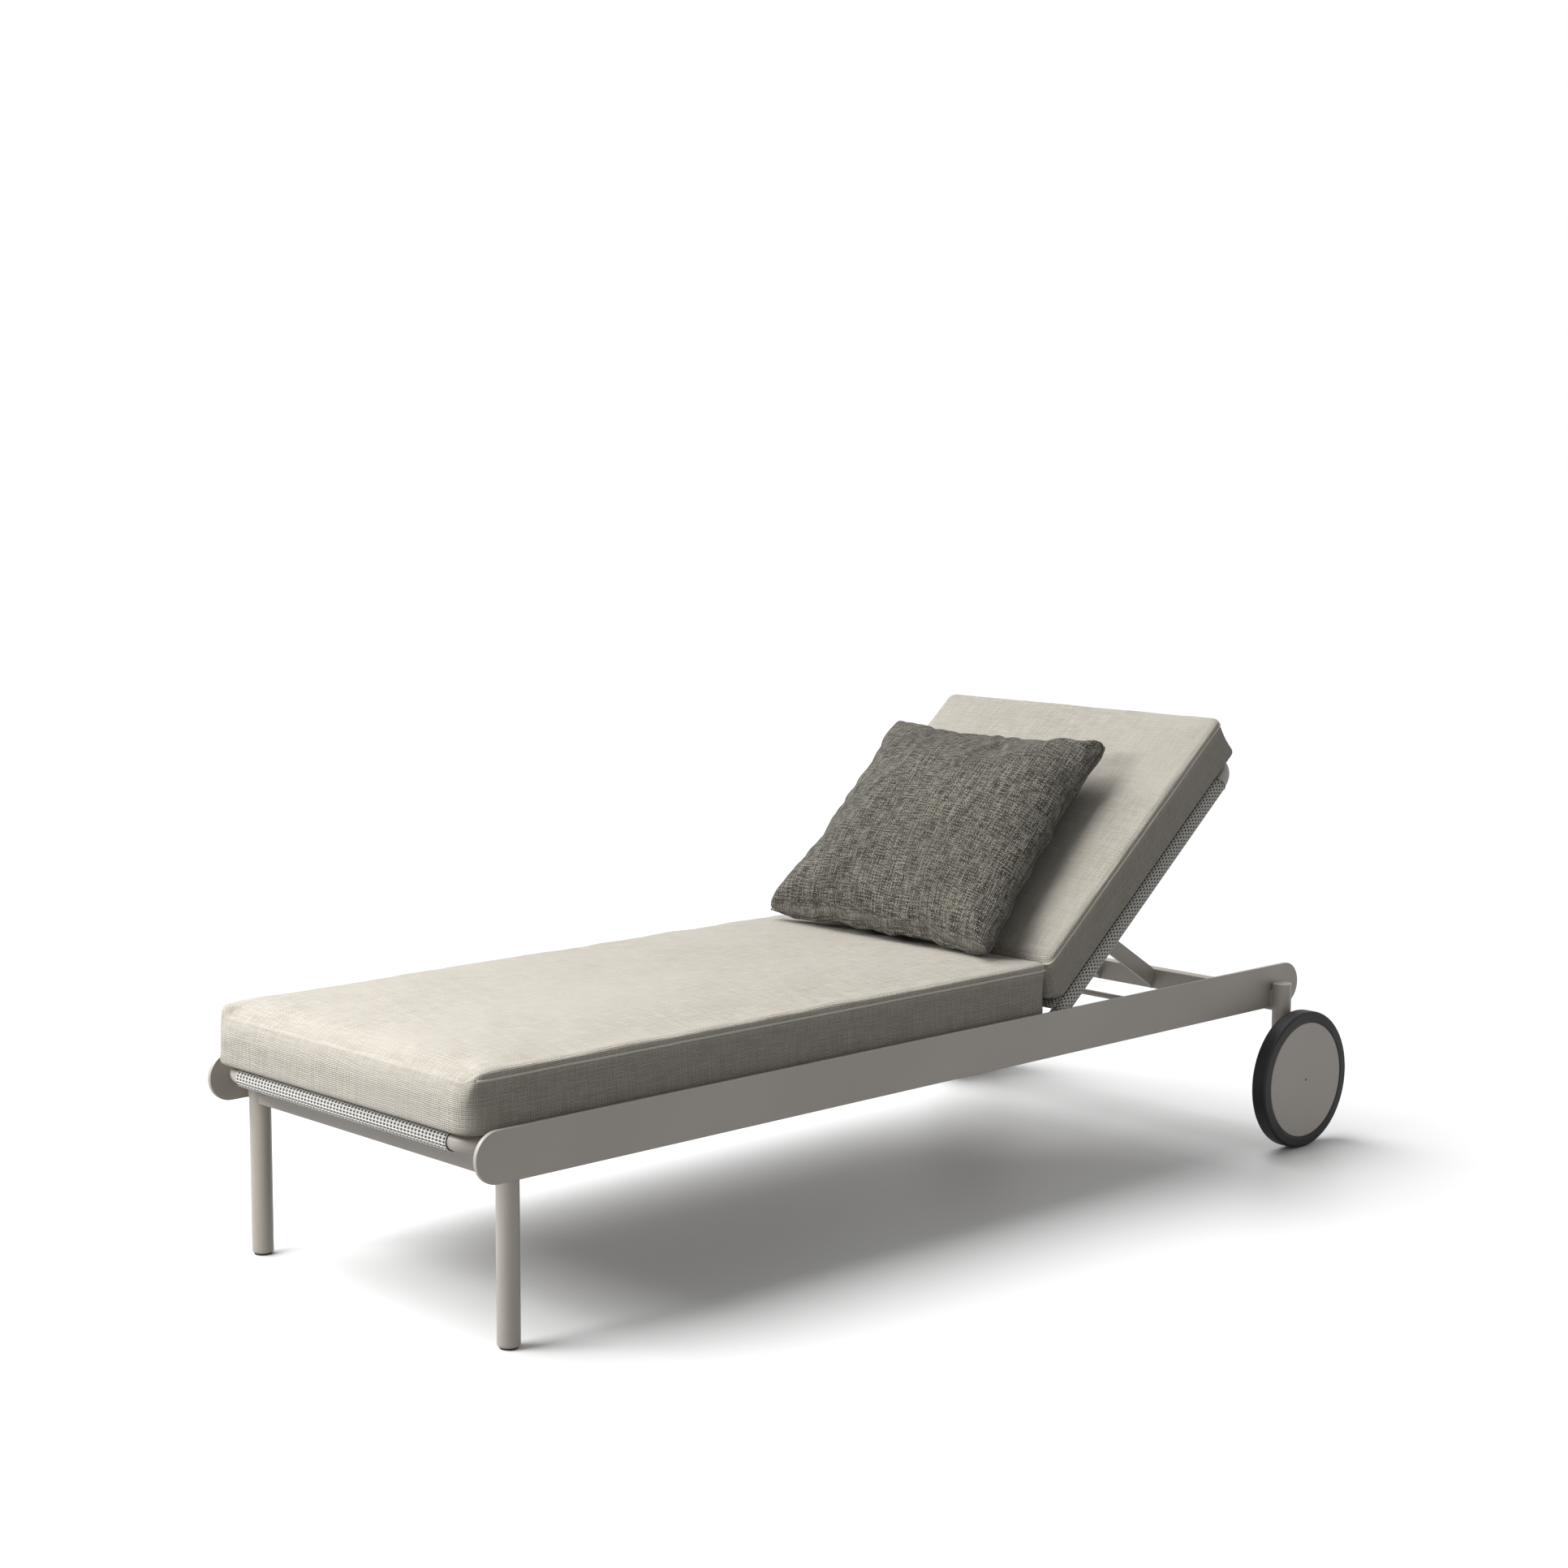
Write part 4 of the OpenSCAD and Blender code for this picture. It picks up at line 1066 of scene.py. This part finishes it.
def makePillow(look):
    halfW, halfL = look["cutW"] / 2, look["cutL"] / 2
    xs = list(np.linspace(-halfW, halfW, look["cells"][0] + 1))
    ys = list(np.linspace(-halfL, halfL, look["cells"][1] + 1))
    points, faces, uv, cells = latticeShell(xs, ys, [-look["edge"], look["edge"]])
    nx, ny = look["cells"]
    u, v = points[:, 0] / halfW, points[:, 1] / halfL
    # a slack start, already a little full and uneven, so that the folds come in the same places
    lens = np.clip((1 - u ** 2), 0, 1) ** 0.5 * np.clip((1 - v ** 2), 0, 1) ** 0.5
    way = np.sign(points[:, 2])
    uneven = np.array([noise.noise(Vector((x * 3.1, y * 2.7, z * 40))) for x, y, z in points])
    points[:, 2] += way * lens * (look["startFull"] + look["startUneven"] * uneven)
    obj = newPiece("scatterPillow", points, faces, finishes["pillow_cloth"], uv)
    inflate(obj, pillowAir)
    # kept to the pillow's thickness, with its edges drawn in by as much as that takes
    p = pointsOf(obj)
    full = look["thick"] / 2 / np.abs(p[:, 2]).max()
    p[:, :2] = points[:, :2] + (p[:, :2] - points[:, :2]) * min(1.0, full) ** 2 * look["drawn"]
    fullness = np.abs(p[:, 2]) / np.abs(p[:, 2]).max()
    p[:, 2] = np.sign(p[:, 2]) * look["thick"] / 2 * fullness ** look["boxy"]
    index = {tuple(c): n for n, c in enumerate(cells)}
    tips = {
        "lowLeft": p[index[(0, 0, 0)]], "lowRight": p[index[(nx, 0, 0)]],
        "highLeft": p[index[(0, ny, 0)]], "highRight": p[index[(nx, ny, 0)]],
    }
    spanX = np.mean([abs(t[0]) for t in tips.values()])
    spanY = np.mean([abs(t[1]) for t in tips.values()])
    s, t = p[:, 0] / spanX / 2 + 0.5, p[:, 1] / spanY / 2 + 0.5
    c = {k: np.array(xy) for k, xy in look["corners"].items()}
    flat = (
        np.outer((1 - s) * (1 - t), c["lowLeft"]) + np.outer(s * (1 - t), c["lowRight"])
        + np.outer((1 - s) * t, c["highLeft"]) + np.outer(s * t, c["highRight"])
    )
    local = np.column_stack([flat, look["lift"] + p[:, 2]])
    rim = (cells[:, 0] == 0) | (cells[:, 0] == nx) | (cells[:, 1] == 0) | (cells[:, 1] == ny)
    addTone(obj, "edgeWear", rim * 0.8)
    # behind the lower seam the pillow sinks on to the seat
    sunk = np.clip((look["lift"] - local[:, 2]) / look["sinkDepth"], 0, 1)
    nearFoot = np.exp(-(points[:, 1] + halfL) / look["sinkReach"])
    local[:, 1] -= look["sink"] * (1 - (points[:, 0] / halfW) ** 6) * sunk * nearFoot
    setPoints(obj, local)
    # small folds that run in from the seam
    toSide, toEnd = halfW - np.abs(points[:, 0]), halfL - np.abs(points[:, 1])
    toRim = np.minimum(toSide, toEnd)
    along = np.where(toSide < toEnd, points[:, 1], points[:, 0])
    fold = np.array([
        noise.noise(Vector((a * 21.0, d * 9.0, 5.0 * (z > 0))))
        + 0.6 * noise.noise(Vector((a * 47.0, d * 14.0, 9.0)))
        for a, d, z in zip(along, toRim, points[:, 2])
    ])
    height = look["fold"] * np.exp(-toRim / look["foldReach"]) * fold
    slow = np.array([noise.noise(Vector(q) * 9.0) for q in points]) * look["dent"]
    moved = pointsOf(obj) + normalsOf(obj) * (height + slow * (1 - np.exp(-toRim / 0.05)))[:, None]
    setPoints(obj, moved)
    seam = pointsOf(obj)[[index[c] for c in ringAt(nx, ny, 0)]]
    subdivide(obj)
    local = pointsOf(obj)
    # rests on the back cushion and on the seat cushion
    local[:, 2] = np.maximum(local[:, 2], backFaceZ + look["clearBack"])
    seatLevel = (seatTop + look["clearSeat"] - hinge[2] - local[:, 2] * leanCos) / leanSin
    local[:, 1] = np.maximum(local[:, 1], seatLevel)
    setPoints(obj, onBack(local))
    return obj, onBack(seam)


pillow, pillowSeam = makePillow(pillowLooks)
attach(pillow, "backrest")
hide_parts("scatter_pillow")
throughTree(
    "pillowSeam", [(pillowSeam, True)], strands, {"Radius": pillowLooks["seamR"], "Sides": 6},
    darkThread, "backrest",
)
print("pillow made:", len(pillow.data.polygons), "faces")


sling = {
    "step": 0.020,
    "wrapSteps": 14,
    "thick": 0.0008,
    "cutIn": 0.055,  # the panel's corners stop inside the bare bends
    "columns": 34,
    "panelStep": 0.04,
    "hemHeight": 0.0005,
    "hemR": 0.0006,
}


def quadGrid(rows, columns):
    # the faces of a grid whose points run along its rows
    faces = []
    for j in range(rows):
        for k in range(columns):
            a = j * (columns + 1) + k
            faces.append([a, a + 1, a + columns + 2, a + columns + 1])
    return faces


def wrapGrid(start, end, outward, up, radius, steps, pieces):
    # half a sleeve from start to end round a tube's centre line: (points, faces, map)
    points, uv = [], []
    start, end = np.array(start, float), np.array(end, float)
    length = np.linalg.norm(end - start)
    for i in range(pieces + 1):
        at = start + (end - start) * i / pieces
        for k in range(steps + 1):
            turn = math.pi / 2 - math.pi * k / steps
            points.append(at + radius * (math.cos(turn) * outward + math.sin(turn) * up))
            uv.append((length * i / pieces, math.pi * radius * k / steps))
    return points, quadGrid(pieces, steps), uv


def joinGrids(grids):
    points, faces, uv = [], [], []
    for p, f, m in grids:
        first = len(points)
        points.extend(p)
        for face in f:
            faces.append([first + n for n in face])
            uv.extend(m[n] for n in face)
    return points, faces, uv


def panelGrid(x, y0, y1, cut0, cut1, z):
    # flat panel with cut corners, as rows across the sling
    step, columns = sling["panelStep"], sling["columns"]
    rows = sorted(set(
        [y0, y1] + [y0 + cut0 * f for f in (0.25, 0.5, 0.75, 1.0) if cut0]
        + [y1 - cut1 * f for f in (0.25, 0.5, 0.75, 1.0) if cut1]
        + list(np.linspace(y0 + max(cut0, 0.001), y1 - cut1, round((y1 - y0) / step)))
    ))
    points, uv = [], []
    for y in rows:
        inset = max(0.0, cut0 - (y - y0), cut1 - (y1 - y))
        for k in range(columns + 1):
            px = (x - inset) * (2 * k / columns - 1)
            points.append((px, y, z))
            uv.append((px, y))
    return points, quadGrid(len(rows) - 1, columns), uv


def slingPiece(name, grids, body, replaced, turned, shadedBase=False):
    points, faces, uv = joinGrids(grids)
    points = np.array(points, float)
    if turned:
        points = onBack(points)
    obj = newPiece(name, points, faces, finishes["sling_weave"], uv)
    if shadedBase:
        # painted shade: the front sleeve's faces get the dark base that shows as shade between the woven strands
        obj.data.materials.append(finishes["slingGapShade"])
        count = len(grids[-1][1])
        index = [0] * (len(faces) - count) + [1] * count
        obj.data.polygons.foreach_set("material_index", index)
    shell = obj.modifiers.new("cloth", "SOLIDIFY")
    shell.thickness = sling["thick"]
    shell.offset = 0
    keepModifiers(obj)
    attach(obj, body)
    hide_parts(*replaced)
    return obj


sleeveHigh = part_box("seat_sling_sleeves")[1]
panelLow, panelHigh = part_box("seat_sling")
tubeLow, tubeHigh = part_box("seat_frame")
tubeR = (tubeHigh.z - tubeLow.z) / 2
tubeZ = (tubeHigh.z + tubeLow.z) / 2
tubeX = tubeHigh.x - tubeR
seatY0, seatY1 = tubeLow.y + tubeR, tubeHigh.y - tubeR
wrapR = sleeveHigh.x - tubeX - sling["thick"] / 2
panelZ = (panelLow.z + panelHigh.z) / 2
across, upward, lengthways = np.array([1.0, 0, 0]), np.array([0, 0, 1.0]), np.array([0, 1.0, 0])

# the side sleeves stop short of each saddle, so their ends are read from the CAD sleeve
sleevePoints = pointsOf(nodes["seat_sling_sleeves"])
beside = sleevePoints[sleevePoints[:, 0] > tubeX + tubeR * 0.7]
stops = []
for y in sorted(beside[:, 1]):
    if not stops or y - stops[-1] > 0.002:
        stops.append(float(y))
runs = list(zip(stops[0::2], stops[1::2]))


def sleeveRun(x, y0, y1, z, side):
    count = max(4, round((y1 - y0) / sling["step"]))
    grid = wrapGrid(
        (side * x, y0, z), (side * x, y1, z), side * across, upward, wrapR, sling["wrapSteps"], count
    )
    return grid if side < 0 else turnedOver(grid)


def turnedOver(grid):
    points, faces, uv = grid
    return points, [face[::-1] for face in faces], uv


def sleeveAcross(x, y, z, way):
    count = round(2 * x / sling["step"])
    grid = wrapGrid((-x, y, z), (x, y, z), way * lengthways, upward, wrapR, sling["wrapSteps"], count)
    return grid if way > 0 else turnedOver(grid)


cut = sling["cutIn"]
seatGrids = [panelGrid(tubeX, seatY0, seatY1, cut, cut, panelZ)]
for side in (-1, 1):
    for y0, y1 in runs:
        seatGrids.append(sleeveRun(tubeX, y0, y1, tubeZ, side))
seatGrids.append(sleeveAcross(tubeX - cut, seatY1, tubeZ, 1))
seatGrids.append(sleeveAcross(tubeX - cut, seatY0, tubeZ, -1))
seatSling = slingPiece(
    "seatSling", seatGrids, "frame", ["seat_sling", "seat_sling_sleeves"], False, shadedBase=True
)

backPanel = fromBack(pointsOf(nodes["back_sling"]))
backY0, backY1 = backPanel[:, 1].min(), backPanel[:, 1].max()
backPanelZ = (backPanel[:, 2].min() + backPanel[:, 2].max()) / 2
backGrids = [panelGrid(tubeX, backY0, backY1, 0.0, cut, backPanelZ)]
for side in (-1, 1):
    backGrids.append(sleeveRun(tubeX, backY0, backY1 - cut, 0.0, side))
backGrids.append(sleeveAcross(tubeX - cut, backY1, 0.0, 1))
backSling = slingPiece(
    "backSling", backGrids, "backrest", ["back_sling", "back_sling_sleeves"], True
)
print("slings made")


def hoop(centre, outward, up, radius, steps=14):
    return [
        np.array(centre) + radius * (math.cos(t) * outward + math.sin(t) * up)
        for t in np.linspace(math.pi / 2, -math.pi / 2, steps + 1)
    ]


# a dark binding closes each end of a sleeve
hemR = wrapR + sling["hemHeight"]
bindings = []
for way, y in ((-1, seatY0), (1, seatY1)):
    for x in (cut - tubeX, tubeX - cut):
        bindings.append((hoop((x, y, tubeZ), way * lengthways, upward, hemR), False))
for side in (-1, 1):
    for y0, y1 in runs:
        for y in (y0, y1):
            bindings.append((hoop((side * tubeX, y, tubeZ), side * across, upward, hemR), False))
hemShape = {"Radius": sling["hemR"], "Sides": 6}
seatHems = throughTree(
    "seatSlingHems", bindings, strands, hemShape, blackHem, "frame"
)
bindings = []
for side in (-1, 1):
    for y in (backY0, backY1 - cut):
        line = hoop((side * tubeX, y, 0.0), side * across, upward, hemR)
        bindings.append((onBack(line), False))
    line = hoop((side * (tubeX - cut), backY1, 0.0), lengthways, upward, hemR)
    bindings.append((onBack(line), False))
backHems = throughTree(
    "backSlingHems", bindings, strands, hemShape, blackHem, "backrest"
)


def frontWeave(look):
    # the open weave of the front sleeve, strand by strand
    x = tubeX - cut
    lines = []
    radius = wrapR + sling["thick"] / 2 + look["strand"] * 0.4
    hoops = round(2 * x / look["hoopPitch"])
    for n in range(hoops + 1):
        for shift in (-look["pair"], look["pair"]):
            at = -x + 2 * x * n / hoops + shift
            if abs(at) < x:
                lines.append((hoop((at, seatY0, tubeZ), -lengthways, upward, radius, 12), False))
    rows = round(math.pi * radius / look["rowPitch"])
    for k in range(rows + 1):
        turn = math.pi / 2 - math.pi * k / rows
        points = []
        for n in range(2 * hoops + 1):
            lift = radius + look["strand"] * (0.9 if (n + k) % 2 else -0.2)
            points.append(
                np.array((-x + x * n / hoops, seatY0, tubeZ))
                + lift * (-math.cos(turn) * lengthways + math.sin(turn) * upward)
            )
        lines.append((points, False))
    return lines


weaveLook = {"hoopPitch": 0.0088, "rowPitch": 0.0052, "pair": 0.0011, "strand": 0.00105}
sleeveWeave = throughTree(
    "frontSleeveWeave", frontWeave(weaveLook), strands,
    {"Radius": weaveLook["strand"], "Sides": 5},
    sewingThread("slingStrand", shade(214, 212, 206), shade(240, 238, 233)), "frame",
)


def areaLight(name, place, aim, size, power):
    data = bpy.data.lights.new(name, "AREA")
    data.shape = "RECTANGLE"
    data.size, data.size_y = size
    data.energy = power
    lamp = intoScene(name, data)
    lamp.location = place
    lamp.rotation_euler = (Vector(aim) - Vector(place)).to_track_quat("-Z", "Y").to_euler()


studio = {
    "floorSize": 90.0,
    "floorTone": (0.92, 0.92, 0.92, 1.0),
    "skyFrom": (-0.50, -0.22, 1.0),  # direction that the wide overhead light comes from
    "skySpread": 54.0,
    "skyPower": 3.22,
    "foot": ((-0.5, -2.5, 1.75), (0.0, -0.9, 0.35), (1.4, 0.8), 44.0),
    "seen": 1.0,
    "mirrored": 0.9,
    "around": 0.27,
}


def makeStudio(look):
    half = look["floorSize"]
    mesh = bpy.data.meshes.new("studioFloor")
    mesh.from_pydata(
        [(-half, -half, 0), (half, -half, 0), (half, half, 0), (-half, half, 0)], [], [[0, 1, 2, 3]]
    )
    floor = intoScene("studioFloor", mesh)
    f = Finish("studioFloor")
    cloud = f.cloud(f.place(), 0.6, 1.0)
    mesh.materials.append(f.done(
        Base_Color=look["floorTone"], Roughness=0.42 + cloud * 0.06, Specular_IOR_Level=0.25
    ))
    floor.visible_diffuse = False
    areaLight("footLight", *look["foot"])
    data = bpy.data.lights.new("overhead", "SUN")
    data.energy = look["skyPower"]
    data.angle = math.radians(look["skySpread"])
    overhead = intoScene("overhead", data)
    overhead.rotation_euler = (-Vector(look["skyFrom"])).to_track_quat("-Z", "Y").to_euler()
    world = bpy.data.worlds.new("studio")
    bpy.context.scene.world = world
    world.use_nodes = True
    tree = world.node_tree
    tree.nodes.clear()
    rays = tree.nodes.new("ShaderNodeLightPath")
    strength = tree.nodes.new("ShaderNodeMix")
    strength.inputs[2].default_value = look["around"]
    strength.inputs[3].default_value = look["mirrored"]
    tree.links.new(rays.outputs["Is Glossy Ray"], strength.inputs[0])
    seen = tree.nodes.new("ShaderNodeMix")
    seen.inputs[3].default_value = look["seen"]
    tree.links.new(rays.outputs["Is Camera Ray"], seen.inputs[0])
    tree.links.new(strength.outputs[0], seen.inputs[2])
    sky = tree.nodes.new("ShaderNodeBackground")
    sky.inputs["Color"].default_value = (1.0, 1.0, 1.0, 1.0)
    tree.links.new(seen.outputs[0], sky.inputs["Strength"])
    end = tree.nodes.new("ShaderNodeOutputWorld")
    tree.links.new(sky.outputs[0], end.inputs["Surface"])
    bpy.context.scene.view_settings.view_transform = "Standard"


makeStudio(studio)
print("studio made")
